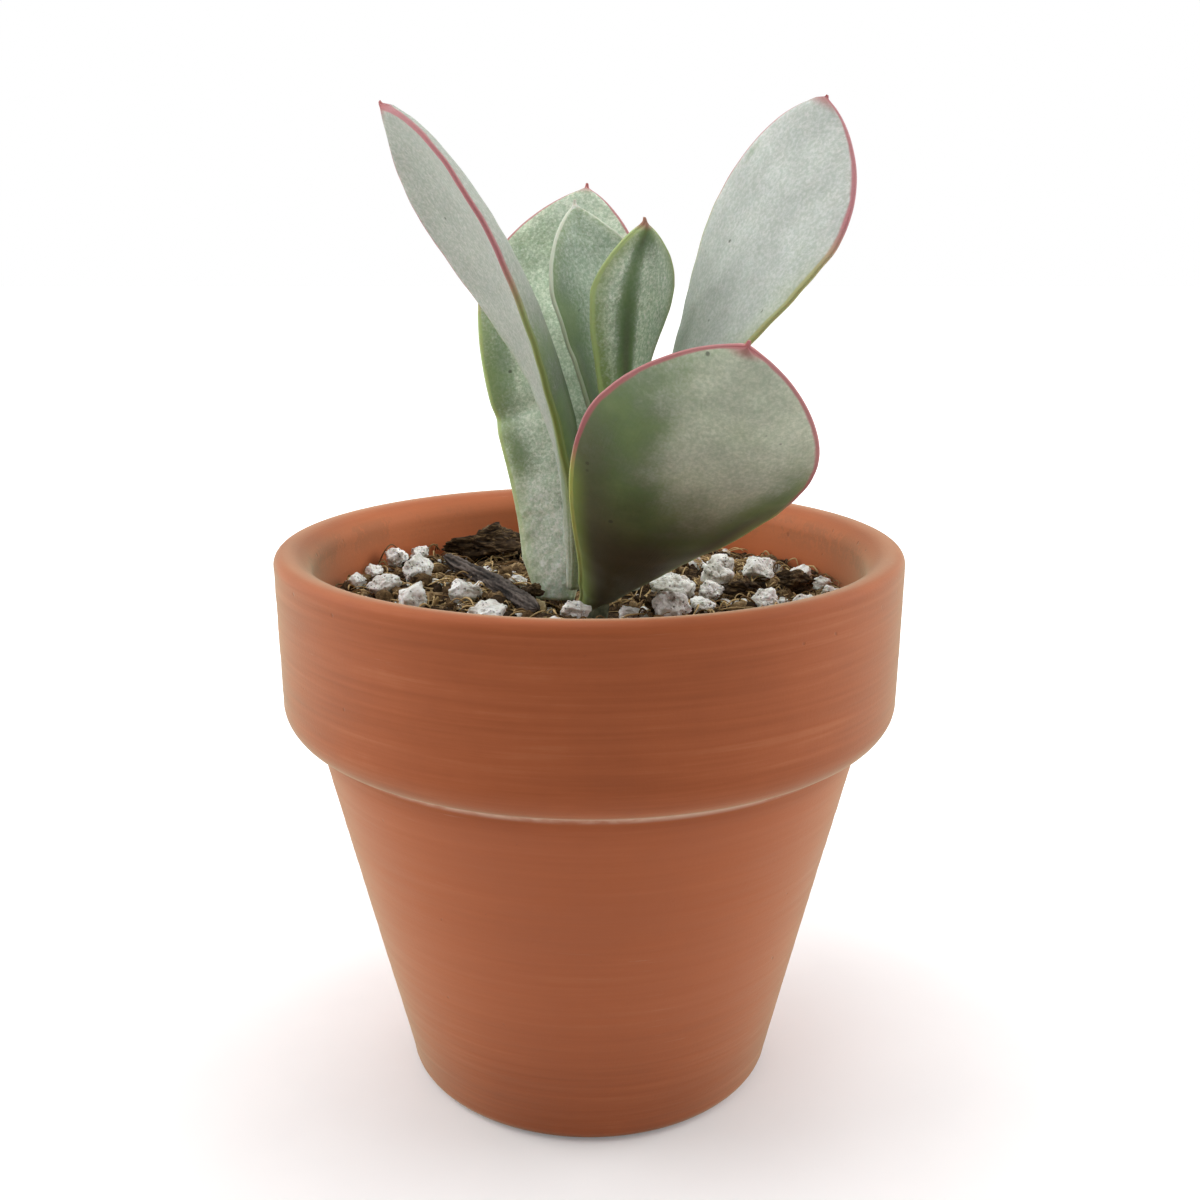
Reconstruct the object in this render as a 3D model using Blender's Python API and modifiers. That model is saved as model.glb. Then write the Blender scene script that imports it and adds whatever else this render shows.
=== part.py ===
"""Potted succulent: a grey-green, broad-leaved succulent in a small terracotta pot.

The pot stands on the XY plane with its axis on Z. The stem leans a little to one side
and carries three pairs of leaves around a growing tip. The pot is filled with a gritty
mix, and loose perlite, bark and a twig lie on it.
"""
import math
import random

import bmesh
import bpy
from mathutils import Vector, noise

MM = 0.001
CLEARANCE = 0.3 * MM

# Pot
RIM_RADIUS = 38.0 * MM
POT_HEIGHT = 68.5 * MM
BASE_RADIUS = 23.1 * MM
COLLAR_HEIGHT = 21.8 * MM
COLLAR_STEP = 3.8 * MM
COLLAR_DRAFT = 0.25 * MM
WALL = 4.0 * MM
LIP_WIDTH = 4.3 * MM
LIP_ROUND = 1.3 * MM
INSIDE_DRAFT = 0.05
FLOOR_THICKNESS = 5.0 * MM
DRAIN_RADIUS = 6.0 * MM
BASE_FILLET = 2.1 * MM
COLLAR_FILLET = 3.9 * MM
POT_STEPS = 48

# Potting mix
HEADSPACE = 8.0 * MM
SOIL_ROUGHNESS = 0.7 * MM
HOLLOW_DEPTH = 3.0 * MM
SOIL_STEPS = 48
SOIL_RING = 2.8 * MM

# Plant, sized as a whole, with its stem
PLANT_SIZE = 1.0
STEM_RADIUS = 1.6 * MM * PLANT_SIZE
STEM_BURIED = 9.0 * MM
STEM_RISE = 5.6 * MM * PLANT_SIZE
STEM_LEAN = 0.16
STEM_X = 1.0 * MM
PLANT_FOOT_RADIUS = 6.2 * MM * PLANT_SIZE
HOLLOW_RADIUS = 11.0 * MM * PLANT_SIZE

# Leaves
LEAF_ROWS = 18
LEAF_COLUMNS = 8
LEAF_EDGE = 0.8 * MM
LEAF_TIP_HALF_WIDTH = 0.35 * MM

# Loose pieces
GRAIN_SIZE = 1.0
SOIL_RADIUS_DRAWN = 33.0 * MM
TWIG_RADIUS = 1.0 * MM

SOIL_LEVEL = POT_HEIGHT - HEADSPACE
BODY_TOP_RADIUS = RIM_RADIUS - COLLAR_STEP - COLLAR_DRAFT
COLLAR_BOTTOM = POT_HEIGHT - COLLAR_HEIGHT
SHOULDER = SOIL_LEVEL - 2.5 * MM


def remove_everything():
    for scene_object in list(bpy.data.objects):
        bpy.data.objects.remove(scene_object, do_unlink=True)


def new_collection(name):
    collection = bpy.data.collections.new(name)
    bpy.context.scene.collection.children.link(collection)
    return collection


def new_material(name, colour, roughness, subsurface=0.0):
    material = bpy.data.materials.new(name)
    material.use_nodes = True
    shader = material.node_tree.nodes["Principled BSDF"]
    shader.inputs["Base Color"].default_value = (*colour, 1.0)
    shader.inputs["Roughness"].default_value = roughness
    shader.inputs["Metallic"].default_value = 0.0
    shader.inputs["Subsurface Weight"].default_value = subsurface
    return material


def add_mesh_object(name, mesh, collection, material):
    item = bpy.data.objects.new(name, mesh)
    collection.objects.link(item)
    if material:
        item.data.materials.append(material)
    return item


def mesh_from_bmesh(name, shape):
    mesh = bpy.data.meshes.new(name)
    shape.to_mesh(mesh)
    shape.free()
    mesh.shade_smooth()
    return mesh


def evaluated_mesh(item):
    graph = bpy.context.evaluated_depsgraph_get()
    return bpy.data.meshes.new_from_object(item.evaluated_get(graph))


def blend(pair, share):
    return pair[0] + (pair[1] - pair[0]) * share


def arc(centre, radius, start, end, count):
    """Points of an arc in the XZ plane, angles in degrees, both ends included."""
    points = []
    for i in range(count):
        angle = math.radians(start + (end - start) * i / (count - 1))
        points.append((centre[0] + radius * math.cos(angle), centre[1] + radius * math.sin(angle)))
    return points


def profile_mesh(name, points, closed):
    """A profile in the XZ plane as a mesh of edges, ready for a Screw modifier."""
    shape = bmesh.new()
    verts = [shape.verts.new((x, 0.0, z)) for x, z in points]
    for first, second in zip(verts, verts[1:]):
        shape.edges.new((first, second))
    if closed:
        shape.edges.new((verts[-1], verts[0]))
    return mesh_from_bmesh(name, shape)


def add_screw(item, steps):
    screw = item.modifiers.new("turned", "SCREW")
    screw.axis = "Z"
    screw.angle = math.tau
    screw.steps = steps
    screw.render_steps = steps
    screw.use_merge_vertices = True
    screw.merge_threshold = 0.00001
    screw.use_smooth_shade = True


# ---------------------------------------------------------------- pot

def body_radius(z):
    """Outer radius of the tapered body below the collar."""
    taper = (BODY_TOP_RADIUS - BASE_RADIUS) / COLLAR_BOTTOM
    return BASE_RADIUS + taper * z


def inner_radius(z):
    """Inner radius of the pot: parallel to the body, then almost upright inside the collar."""
    def upright(height):
        return RIM_RADIUS - LIP_WIDTH - INSIDE_DRAFT * (POT_HEIGHT - height)

    if z >= SHOULDER:
        return upright(z)
    if z <= COLLAR_BOTTOM:
        return body_radius(z) - WALL
    share = (z - COLLAR_BOTTOM) / (SHOULDER - COLLAR_BOTTOM)
    return blend((body_radius(COLLAR_BOTTOM) - WALL, upright(SHOULDER)), share)


def collar_edge():
    """The collar's rounded lower edge, down to where it meets the body."""
    centre_radius = RIM_RADIUS - COLLAR_DRAFT - COLLAR_FILLET
    reach = max(0.0, BODY_TOP_RADIUS + 0.3 * MM - centre_radius)
    end = math.degrees(math.acos(min(1.0, reach / COLLAR_FILLET)))
    return arc((centre_radius, COLLAR_BOTTOM + COLLAR_FILLET), COLLAR_FILLET, 0, -end, 7)


def pot_profile():
    """Closed section of the wall, down the outer side and back up the inner one."""
    top = POT_HEIGHT
    inner_round = LIP_WIDTH - LIP_ROUND - 0.6 * MM
    lip_centre = RIM_RADIUS - LIP_WIDTH + inner_round
    points = [(lip_centre, top)]
    points += arc((RIM_RADIUS - LIP_ROUND, top - LIP_ROUND), LIP_ROUND, 90, 0, 4)
    points += collar_edge()
    points.append((body_radius(COLLAR_BOTTOM - 0.5 * MM), COLLAR_BOTTOM - 0.5 * MM))
    points.append((body_radius(BASE_FILLET), BASE_FILLET))
    points += arc((body_radius(BASE_FILLET) - BASE_FILLET, BASE_FILLET), BASE_FILLET, -25, -90, 3)
    points.append((DRAIN_RADIUS, 0.0))
    points.append((DRAIN_RADIUS, FLOOR_THICKNESS))
    points.append((inner_radius(FLOOR_THICKNESS) - 2.0 * MM, FLOOR_THICKNESS))
    points.append((inner_radius(FLOOR_THICKNESS + 2.0 * MM), FLOOR_THICKNESS + 2.0 * MM))
    points.append((inner_radius(COLLAR_BOTTOM), COLLAR_BOTTOM))
    points.append((inner_radius(SHOULDER), SHOULDER))
    points += arc((lip_centre, top - inner_round), inner_round, 180, 112, 4)
    return points


def build_pot(collection, material):
    pot = add_mesh_object("pot", profile_mesh("pot", pot_profile(), closed=True), collection, material)
    add_screw(pot, POT_STEPS)
    return pot


# ---------------------------------------------------------------- potting mix

def soil_height(x, y):
    """Height of the mix: lumpy, with a shallow hollow where the plant sits."""
    lumps = noise.noise(Vector((x, y, 0.0)) * 140.0) + 0.5 * noise.noise(Vector((x, y, 0.4)) * 330.0)
    reach = math.hypot(x - STEM_X, y) / HOLLOW_RADIUS
    hollow = HOLLOW_DEPTH * max(0.0, 1.0 - reach * reach) ** 0.7
    return SOIL_LEVEL + SOIL_ROUGHNESS * lumps * min(1.0, reach) - hollow


def soil_radius(z):
    return inner_radius(z) - CLEARANCE


def soil_profile():
    """From the middle of the surface out to the wall, down the wall and in along the floor."""
    edge = soil_radius(SOIL_LEVEL)
    rings = max(4, round(edge / SOIL_RING))
    floor = FLOOR_THICKNESS + CLEARANCE
    corner = 2.0 * MM
    points = [(edge * i / rings, SOIL_LEVEL) for i in range(rings + 1)]
    points.append((soil_radius(COLLAR_BOTTOM), COLLAR_BOTTOM))
    points.append((soil_radius(floor + corner) - CLEARANCE, floor + corner))
    points.append((soil_radius(floor) - corner - CLEARANCE, floor))
    points.append((0.0, floor))
    return points


def build_soil(collection, material, cutters):
    turned = add_mesh_object("soil_blank", profile_mesh("soil_blank", soil_profile(), closed=False),
                             cutters, None)
    add_screw(turned, SOIL_STEPS)
    mesh = evaluated_mesh(turned)
    bpy.data.objects.remove(turned, do_unlink=True)
    mesh.name = "soil"
    for vertex in mesh.vertices:
        if vertex.co.z > SOIL_LEVEL - 0.1 * MM:
            vertex.co.z = soil_height(vertex.co.x, vertex.co.y)
            far = math.hypot(vertex.co.x, vertex.co.y)
            room = soil_radius(vertex.co.z)
            if far > room:
                vertex.co.x *= room / far
                vertex.co.y *= room / far
    return add_mesh_object("soil", mesh, collection, material)


# ---------------------------------------------------------------- stem

def stem_centre(z):
    """The stem's axis leans towards +X as it rises from the mix."""
    return Vector((STEM_X + STEM_LEAN * (z - SOIL_LEVEL), 0.0, z))


def tapered_tube(name, start, end, start_radius, end_radius, sides):
    shape = bmesh.new()
    length = (end - start).length
    bmesh.ops.create_cone(shape, cap_ends=True, segments=sides, radius1=start_radius,
                          radius2=end_radius, depth=length)
    turn = (end - start).to_track_quat("Z", "Y").to_matrix().to_4x4()
    bmesh.ops.transform(shape, matrix=turn, verts=shape.verts)
    bmesh.ops.translate(shape, vec=(start + end) / 2, verts=shape.verts)
    return mesh_from_bmesh(name, shape)


def build_stem(collection, material, soil, cutters):
    bottom = stem_centre(SOIL_LEVEL - STEM_BURIED)
    top = stem_centre(SOIL_LEVEL + STEM_RISE)
    mesh = tapered_tube("stem", bottom, top, STEM_RADIUS * 1.2, STEM_RADIUS * 0.8, 14)
    stem = add_mesh_object("stem", mesh, collection, material)
    bevel = stem.modifiers.new("soft_ends", "BEVEL")
    bevel.width = 0.5 * MM
    bevel.segments = 2
    bevel.limit_method = "ANGLE"
    bevel.angle_limit = math.radians(50)

    down = (bottom - top).normalized()
    pocket_mesh = tapered_tube("stem_pocket", bottom + down * CLEARANCE, top, STEM_RADIUS * 1.2 + CLEARANCE,
                               STEM_RADIUS * 1.2 + CLEARANCE, 14)
    pocket = add_mesh_object("stem_pocket", pocket_mesh, cutters, None)
    pocket.hide_render = True
    pocket.display_type = "WIRE"
    cut = soil.modifiers.new("stem_pocket", "BOOLEAN")
    cut.operation = "DIFFERENCE"
    cut.object = pocket
    cut.solver = "EXACT"
    return stem


# ---------------------------------------------------------------- leaves

# Lengths are in millimetres and angles in degrees. foot is the foot's place: its angle
# round the stem, how far it is out from the stem's skin and how high it is over the mix.
# bearing is the way the leaf leans, from +X towards +Y, and lean is its angle from
# upright at its foot and its tip. sweep turns the bearing on the way to the tip, and
# roll turns the blade about its own spine, at its foot and its tip. widest says how far
# along the blade is broadest, and rise how soon it gets there. shoulder and point shape
# its rounded end, skew makes one side broader, and cup curls the margins inwards.
LEAVES = {
    "leaf_front": dict(
        foot=(-106, 2.15, 0.9), bearing=-60.4, sweep=-5.5, lean=(54, 35.6), roll=(-12, -32), length=46.6,
        half_width=12.6, foot_half_width=2.6, widest=0.66, shoulder=1.83, point=0.74, rise=0.84,
        cup=0.11, skew=-0.03, thickness=(3.4, 1.8)),
    "leaf_back": dict(
        foot=(143.7, 4.48, -0.6), bearing=82.6, sweep=-8, lean=(11.3, 27.5), roll=(1, 3.4), length=53.8,
        half_width=10.8, foot_half_width=3.9, widest=0.72, shoulder=1.73, point=0.78, rise=1.08,
        cup=0.12, skew=-0.14, thickness=(3.4, 1.8)),
    "leaf_left": dict(
        foot=(188.8, 1.66, 2.0), bearing=189.2, sweep=-13.9, lean=(-5.7, 47.7), roll=(-9.2, 27.8), length=62.5,
        half_width=13.1, foot_half_width=2.5, widest=0.667, shoulder=2.6, point=0.94, rise=1.02,
        cup=-0.2, skew=0.1, thickness=(3.4, 1.8)),
    "leaf_right": dict(
        foot=(0, 2.28, 2.0), bearing=-4.7, sweep=0, lean=(7.7, 33.5), roll=(-3, 42), length=61.3,
        half_width=13.1, foot_half_width=3.0, widest=0.74, shoulder=1.78, point=0.69, rise=1.39,
        cup=0.0, skew=0.29, thickness=(3.4, 1.8)),
    "leaf_inner_left": dict(
        foot=(106.8, 1.01, 6.6), bearing=144.3, sweep=-30, lean=(-7.8, 25), roll=(17, 5.6), length=42,
        half_width=8.9, foot_half_width=2.3, widest=0.72, shoulder=1.43, point=0.84, rise=1.42,
        cup=0.22, skew=0.14, thickness=(2.4, 1.5)),
    "leaf_inner_right": dict(
        foot=(-65.1, 0.16, 6.6), bearing=-39, sweep=-21, lean=(2.8, 13.3), roll=(16, 9.4), length=39.3,
        half_width=7.0, foot_half_width=2.2, widest=0.79, shoulder=1.55, point=0.83, rise=1.71,
        cup=0.19, skew=-0.14, thickness=(2.4, 1.5)),
}


def leaf_half_width(leaf, t):
    """A narrow foot that swells to the blade, then rounds off to a blunt point."""
    widest = leaf["widest"]
    full = leaf["half_width"]
    if t < widest:
        swell = 0.5 - 0.5 * math.cos(math.pi * (t / widest) ** leaf["rise"])
        width = leaf["foot_half_width"] + (full - leaf["foot_half_width"]) * swell
    else:
        beyond = (t - widest) / (1.0 - widest)
        width = full * max(0.0, 1.0 - beyond ** leaf["shoulder"]) ** leaf["point"]
    gathered = min(1.0, 0.62 + 4.0 * t)
    return max(width * gathered * MM * PLANT_SIZE, LEAF_TIP_HALF_WIDTH)


def leaf_frame(leaf, t):
    """Direction of the spine at t, the way its inner face looks, and its side."""
    lean = math.radians(blend(leaf["lean"], t))
    bearing = math.radians(leaf["bearing"] + leaf["sweep"] * t)
    roll = math.radians(blend(leaf["roll"], t))
    out = Vector((math.cos(bearing), math.sin(bearing), 0.0))
    up = Vector((0.0, 0.0, 1.0))
    along = out * math.sin(lean) + up * math.cos(lean)
    inward = up * math.sin(lean) - out * math.cos(lean)
    side = along.cross(inward)
    face = inward * math.cos(roll) + side * math.sin(roll)
    across = side * math.cos(roll) - inward * math.sin(roll)
    return along, face, across


def leaf_spine(leaf):
    """Points along the spine, one for each row, by small straight steps."""
    turn, out, height = leaf["foot"]
    angle = math.radians(turn)
    reach = STEM_RADIUS + out * MM * PLANT_SIZE
    foot = stem_centre(SOIL_LEVEL + height * MM * PLANT_SIZE)
    step = leaf["length"] * MM * PLANT_SIZE / LEAF_ROWS
    points = [foot + Vector((math.cos(angle), math.sin(angle), 0.0)) * reach]
    for row in range(LEAF_ROWS):
        along = leaf_frame(leaf, (row + 0.5) / LEAF_ROWS)[0]
        points.append(points[-1] + along * step)
    return points


def leaf_thickness(leaf, t, u):
    """Fleshy along the spine, thin at the margins and finer again at the tip."""
    foot, tip = leaf["thickness"]
    middle = (tip + (foot - tip) * (1.0 - t) ** 1.3) * MM * PLANT_SIZE
    middle = min(middle, LEAF_EDGE * 0.6 + 0.9 * leaf_half_width(leaf, t))
    return max(middle * math.sqrt(max(0.0, 1.0 - 0.93 * u * u)), LEAF_EDGE * 0.6)


def build_leaf(name, leaf, collection, material):
    """A flat grid bent into the blade's middle surface, then thickened."""
    shape = bmesh.new()
    bmesh.ops.create_grid(shape, x_segments=LEAF_COLUMNS, y_segments=LEAF_ROWS, size=1.0)
    spine = leaf_spine(leaf)
    thicknesses = []
    for vertex in shape.verts:
        u = math.sin(vertex.co.x * math.pi / 2)
        t = (vertex.co.y + 1.0) / 2
        width = leaf_half_width(leaf, t)
        face, across = leaf_frame(leaf, t)[1:]
        reach = u * (1.0 + leaf["skew"] * (1 if u > 0 else -1))
        vertex.co = spine[round(t * LEAF_ROWS)] + across * width * reach + face * leaf["cup"] * u * u * width
        thicknesses.append(leaf_thickness(leaf, t, u))
    mesh = mesh_from_bmesh(name, shape)
    item = add_mesh_object(name, mesh, collection, material)
    group = item.vertex_groups.new(name="thickness")
    thickest = max(thicknesses)
    for index, thickness in enumerate(thicknesses):
        group.add([index], thickness / thickest, "REPLACE")
    solidify = item.modifiers.new("flesh", "SOLIDIFY")
    solidify.thickness = thickest
    solidify.offset = 0.0
    solidify.vertex_group = group.name
    solidify.use_rim = True
    return item


def build_growing_tip(collection, material):
    """The folded bud at the top of the stem, between the innermost leaves."""
    top = stem_centre(SOIL_LEVEL + STEM_RISE)
    shape = bmesh.new()
    bmesh.ops.create_uvsphere(shape, u_segments=10, v_segments=8, radius=1.0)
    half_height = 1.4 * MM
    for vertex in shape.verts:
        slim = 1.0 - 0.35 * vertex.co.z
        vertex.co.x *= 0.45 * MM * slim
        vertex.co.y *= 0.45 * MM * slim
        vertex.co.z *= half_height
    lift = Vector((0.0, 0.2 * MM, half_height + CLEARANCE))
    bmesh.ops.translate(shape, vec=top + lift, verts=shape.verts)
    return add_mesh_object("growing_tip", mesh_from_bmesh("growing_tip", shape), collection, material)


# ---------------------------------------------------------------- loose pieces

# Places are in millimetres from the pot's axis, sizes are half widths in millimetres.
PERLITE = [
    (-30.0, 6.6, 1.5), (-28.0, 10.6, 1.6), (-26.4, 16.0, 1.8), (-23.6, 20.4, 1.5),
    (-22.8, 14.4, 1.5), (-23.0, 9.4, 2.2), (-26.0, 3.0, 2.1), (-15.6, -0.6, 1.9),
    (-21.5, -4.5, 2.5), (-11.4, -11.0, 2.1), (-9.0, 7.4, 1.2), (-7.0, 22.4, 1.5),
    (-1.6, -9.4, 1.7), (4.8, -9.4, 1.3), (10.4, 0.8, 2.6), (14.8, -0.6, 1.6),
    (16.2, 5.8, 2.2), (17.4, 13.8, 1.9), (22.2, 8.8, 2.5), (23.6, 14.4, 1.6),
    (27.6, 10.0, 1.6), (9.7, -9.6, 2.2), (13.4, -6.0, 1.7), (21.4, -5.0, 1.8),
    (25.8, -6.4, 1.5), (29.4, 5.0, 1.5), (30.0, 0.8, 1.3), (3.0, 17.0, 2.2),
    (10.5, 24.5, 1.9), (-1.5, 28.0, 1.6), (-17.0, -18.0, 2.0), (-4.0, -22.5, 2.4),
    (8.5, -20.0, 1.8), (17.5, -17.5, 2.1), (0.5, -29.0, 1.5),
]
BARK = {
    "bark_large": (-14.6, 20.6, (5.6, 3.2, 2.2), -12),
    "bark_chip": (-7.6, 1.4, (1.5, 1.1, 0.8), 20),
    "bark_nugget": (8.6, -4.6, (1.5, 1.3, 1.2), 60),
    "bark_right": (26.0, 2.4, (2.4, 1.6, 1.4), 10),
    "bark_middle": (18.4, 0.8, (2.4, 1.5, 1.3), -15),
}
STONE = (-6.3, -3.0, 1.1)
TWIG = [
    (-19.6, 17.4), (-17.0, 12.6), (-14.2, 7.8), (-11.8, 3.4), (-9.6, -1.2), (-7.8, -5.4), (-6.0, -9.8),
]


def ground_under(x, y, radius):
    """Highest point of the mix under a round footprint."""
    heights = [soil_height(x, y)]
    for ring in (0.5, 1.0, 1.5):
        for step in range(12):
            angle = math.tau * step / 12
            reach = ring * radius
            heights.append(soil_height(x + reach * math.cos(angle), y + reach * math.sin(angle)))
    return max(heights)


def spread(discs, fixed):
    """Slide discs of (x, y, radius) apart, clear of the fixed ones and inside the wall."""
    edge = soil_radius(SOIL_LEVEL)
    places = [list(disc) for disc in discs]
    gap = CLEARANCE * 1.5
    for _ in range(200):
        moved = False
        for i, disc in enumerate(places):
            others = fixed + places[:i] + places[i + 1:]
            for other in others:
                offset = Vector((disc[0] - other[0], disc[1] - other[1]))
                need = disc[2] + other[2] + gap
                if offset.length < need:
                    push = offset.normalized() * (need - offset.length) * 0.6
                    disc[0] += push.x
                    disc[1] += push.y
                    moved = True
            far = math.hypot(disc[0], disc[1])
            room = edge - disc[2] - gap
            if far > room:
                disc[0] *= room / far
                disc[1] *= room / far
                moved = True
        if not moved:
            break
    return places


def lumpy_mesh(name, centre, half_sizes, turn, roughness, seed, detail):
    """An irregular pebble: a sphere with low bumps, squashed and turned."""
    shape = bmesh.new()
    bmesh.ops.create_icosphere(shape, subdivisions=detail, radius=1.0)
    angle = math.radians(turn)
    for vertex in shape.verts:
        bump = noise.noise(vertex.co * 1.3 + Vector((seed * 3.1, seed * 1.7, 0.0)))
        point = vertex.co * (0.9 + roughness * bump)
        x, y, z = (point[i] * half_sizes[i] for i in range(3))
        vertex.co = (x * math.cos(angle) - y * math.sin(angle), x * math.sin(angle) + y * math.cos(angle), z)
    lowest = min(vertex.co.z for vertex in shape.verts)
    lift = ground_under(centre[0], centre[1], max(half_sizes[0], half_sizes[1])) + CLEARANCE - lowest
    bmesh.ops.translate(shape, vec=(centre[0], centre[1], lift), verts=shape.verts)
    return mesh_from_bmesh(name, shape)


def soil_share(x, y):
    """A place given for the pot as drawn, moved in step with the soil's radius."""
    scale = soil_radius(SOIL_LEVEL) / SOIL_RADIUS_DRAWN
    return x * scale, y * scale


def build_twig(collection, material):
    curve = bpy.data.curves.new("twig", "CURVE")
    curve.dimensions = "3D"
    curve.bevel_depth = TWIG_RADIUS
    curve.bevel_resolution = 2
    curve.use_fill_caps = True
    spline = curve.splines.new("POLY")
    spline.points.add(len(TWIG) - 1)
    places = []
    for index, (x, y) in enumerate(TWIG):
        px, py = soil_share(x * MM, y * MM)
        z = ground_under(px, py, 3.2 * MM) + TWIG_RADIUS + CLEARANCE
        spline.points[index].co = (px, py, z, 1.0)
        spline.points[index].radius = 1.0 - 0.06 * index
        places.append((px, py))
    item = bpy.data.objects.new("twig", curve)
    collection.objects.link(item)
    curve.materials.append(material)
    return places


def twig_discs(places):
    """Round keep-out areas along the twig."""
    discs = []
    for first, second in zip(places, places[1:]):
        for step in range(4):
            share = step / 4
            place = [blend((first[axis], second[axis]), share) for axis in (0, 1)]
            discs.append([*place, TWIG_RADIUS])
    discs.append([*places[-1], TWIG_RADIUS])
    return discs


def build_loose_pieces(collection, materials):
    twig = build_twig(collection, materials["twig"])
    foot = [[STEM_X, 0.0, PLANT_FOOT_RADIUS], *twig_discs(twig)]
    drawn = []
    for x, y, sizes, _ in BARK.values():
        drawn.append((*soil_share(x * MM, y * MM), sizes[0] * MM * GRAIN_SIZE * 0.9))
    drawn.append((*soil_share(STONE[0] * MM, STONE[1] * MM), STONE[2] * MM * GRAIN_SIZE))
    for x, y, radius in PERLITE:
        drawn.append((*soil_share(x * MM, y * MM), radius * MM * GRAIN_SIZE))
    places = spread(drawn, foot)

    for index, (name, (_, _, sizes, turn)) in enumerate(BARK.items()):
        half = [size * MM * GRAIN_SIZE for size in sizes]
        mesh = lumpy_mesh(name, places[index], half, turn, 0.35, index + 40, 2)
        add_mesh_object(name, mesh, collection, materials["bark"])
    stone_place = places[len(BARK)]
    stone = lumpy_mesh("grit_stone", stone_place, [stone_place[2]] * 3, 0, 0.25, 5, 2)
    add_mesh_object("grit_stone", stone, collection, materials["grit"])
    shuffle = random.Random(4)
    for index, place in enumerate(places[len(BARK) + 1:]):
        half = [place[2], place[2] * shuffle.uniform(0.75, 0.95), place[2] * shuffle.uniform(0.7, 0.85)]
        name = f"perlite_{index + 1:02d}"
        mesh = lumpy_mesh(name, place, half, shuffle.uniform(0, 180), 0.3, index, 2)
        add_mesh_object(name, mesh, collection, materials["perlite"])


def main():
    remove_everything()
    parts = new_collection("potted_succulent")
    cutters = new_collection("cutters")
    terracotta = new_material("terracotta", (0.42, 0.17, 0.09), 0.9)
    mix = new_material("potting_mix", (0.10, 0.065, 0.04), 0.95)
    leaf_green = new_material("leaf", (0.38, 0.46, 0.37), 0.6, subsurface=0.05)
    stem_green = new_material("stem", (0.30, 0.36, 0.22), 0.7)
    loose = {
        "perlite": new_material("perlite", (0.78, 0.75, 0.71), 0.95),
        "bark": new_material("bark", (0.13, 0.08, 0.05), 0.95),
        "grit": new_material("grit", (0.62, 0.52, 0.33), 0.8),
        "twig": new_material("twig", (0.16, 0.13, 0.12), 0.9),
    }
    build_pot(parts, terracotta)
    soil = build_soil(parts, mix, cutters)
    build_stem(parts, stem_green, soil, cutters)
    for name, leaf in LEAVES.items():
        build_leaf(name, leaf, parts, leaf_green)
    build_growing_tip(parts, leaf_green)
    build_loose_pieces(parts, loose)


main()
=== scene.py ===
"""Looks of the potted succulent: a turned terracotta pot, a gritty mix and six bloomed leaves.

Every length is in metres unless a name says otherwise. The pot stands on the floor with
its axis on Z, and the camera looks along +Y.
"""
import math
import random

import bmesh
import bpy
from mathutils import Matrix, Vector, noise


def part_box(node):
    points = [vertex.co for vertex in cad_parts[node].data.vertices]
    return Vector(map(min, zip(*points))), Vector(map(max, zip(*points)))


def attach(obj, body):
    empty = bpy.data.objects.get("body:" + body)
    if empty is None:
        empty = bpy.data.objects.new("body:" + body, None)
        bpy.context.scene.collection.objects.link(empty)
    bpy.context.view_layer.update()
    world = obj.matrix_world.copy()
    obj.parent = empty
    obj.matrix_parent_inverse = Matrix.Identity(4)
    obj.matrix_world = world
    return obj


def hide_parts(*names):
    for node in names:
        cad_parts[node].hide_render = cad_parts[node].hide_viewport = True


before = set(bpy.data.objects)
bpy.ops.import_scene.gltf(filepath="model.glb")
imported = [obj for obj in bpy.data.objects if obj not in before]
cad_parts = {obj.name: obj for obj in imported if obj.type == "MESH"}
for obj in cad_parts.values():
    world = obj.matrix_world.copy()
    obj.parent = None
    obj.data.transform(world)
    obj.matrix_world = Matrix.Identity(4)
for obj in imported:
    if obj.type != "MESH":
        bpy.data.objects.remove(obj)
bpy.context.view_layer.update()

MM = 0.001
BODY = "root"
POT_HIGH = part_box("pot")[1]

# Pot, as in the CAD model
RIM_RADIUS = POT_HIGH.x
POT_HEIGHT = POT_HIGH.z
BASE_RADIUS = 23.1 * MM
COLLAR_HEIGHT = 21.8 * MM
COLLAR_STEP = 3.8 * MM
COLLAR_DRAFT = 0.25 * MM
WALL = 4.0 * MM
LIP_WIDTH = 4.3 * MM
LIP_ROUND = 1.3 * MM
INSIDE_DRAFT = 0.05
FLOOR_THICKNESS = 5.0 * MM
DRAIN_RADIUS = 6.0 * MM
BASE_FILLET = 2.1 * MM
COLLAR_FILLET = 3.9 * MM
HEADSPACE = 8.0 * MM
SOIL_LEVEL = POT_HEIGHT - HEADSPACE
COLLAR_BOTTOM = POT_HEIGHT - COLLAR_HEIGHT
BODY_TOP_RADIUS = RIM_RADIUS - COLLAR_STEP - COLLAR_DRAFT
SHOULDER = SOIL_LEVEL - 2.5 * MM
POT_SEGMENTS = 256

# Mix, stem and leaves, as in the CAD model
HOLLOW_DEPTH = 3.0 * MM
HOLLOW_RADIUS = 11.0 * MM
SOIL_ROUGHNESS = 0.7 * MM
STEM_RADIUS = 1.6 * MM
STEM_LEAN = 0.16
STEM_X = 1.0 * MM
LEAF_TIP_HALF_WIDTH = 0.35 * MM
LEAF_EDGE = 0.8 * MM
CAD_ROWS = 18

# Finer steps of the leaves here
LEAF_ROWS = 120
LEAF_COLUMNS = 34
MARGIN_STEPS = 6
TIP_ROWS = 8
BROAD_RIPPLE = 0.22 * MM
FINE_RIPPLE = 0.10 * MM

# The crease across the back leaf: shares along and across it, and its depth
FOLD_PLACE = 0.42
FOLD_SLANT = 0.05
FOLD_WIDTH = 0.022
FOLD_DEPTH = 0.6 * MM
WRINKLE_DEPTH = 0.16 * MM

# Unevenness of the turned pot
POT_INSET = 0.06 * MM
OUT_OF_ROUND = 0.10 * MM
TURNING_RINGS = 0.035 * MM

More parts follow.
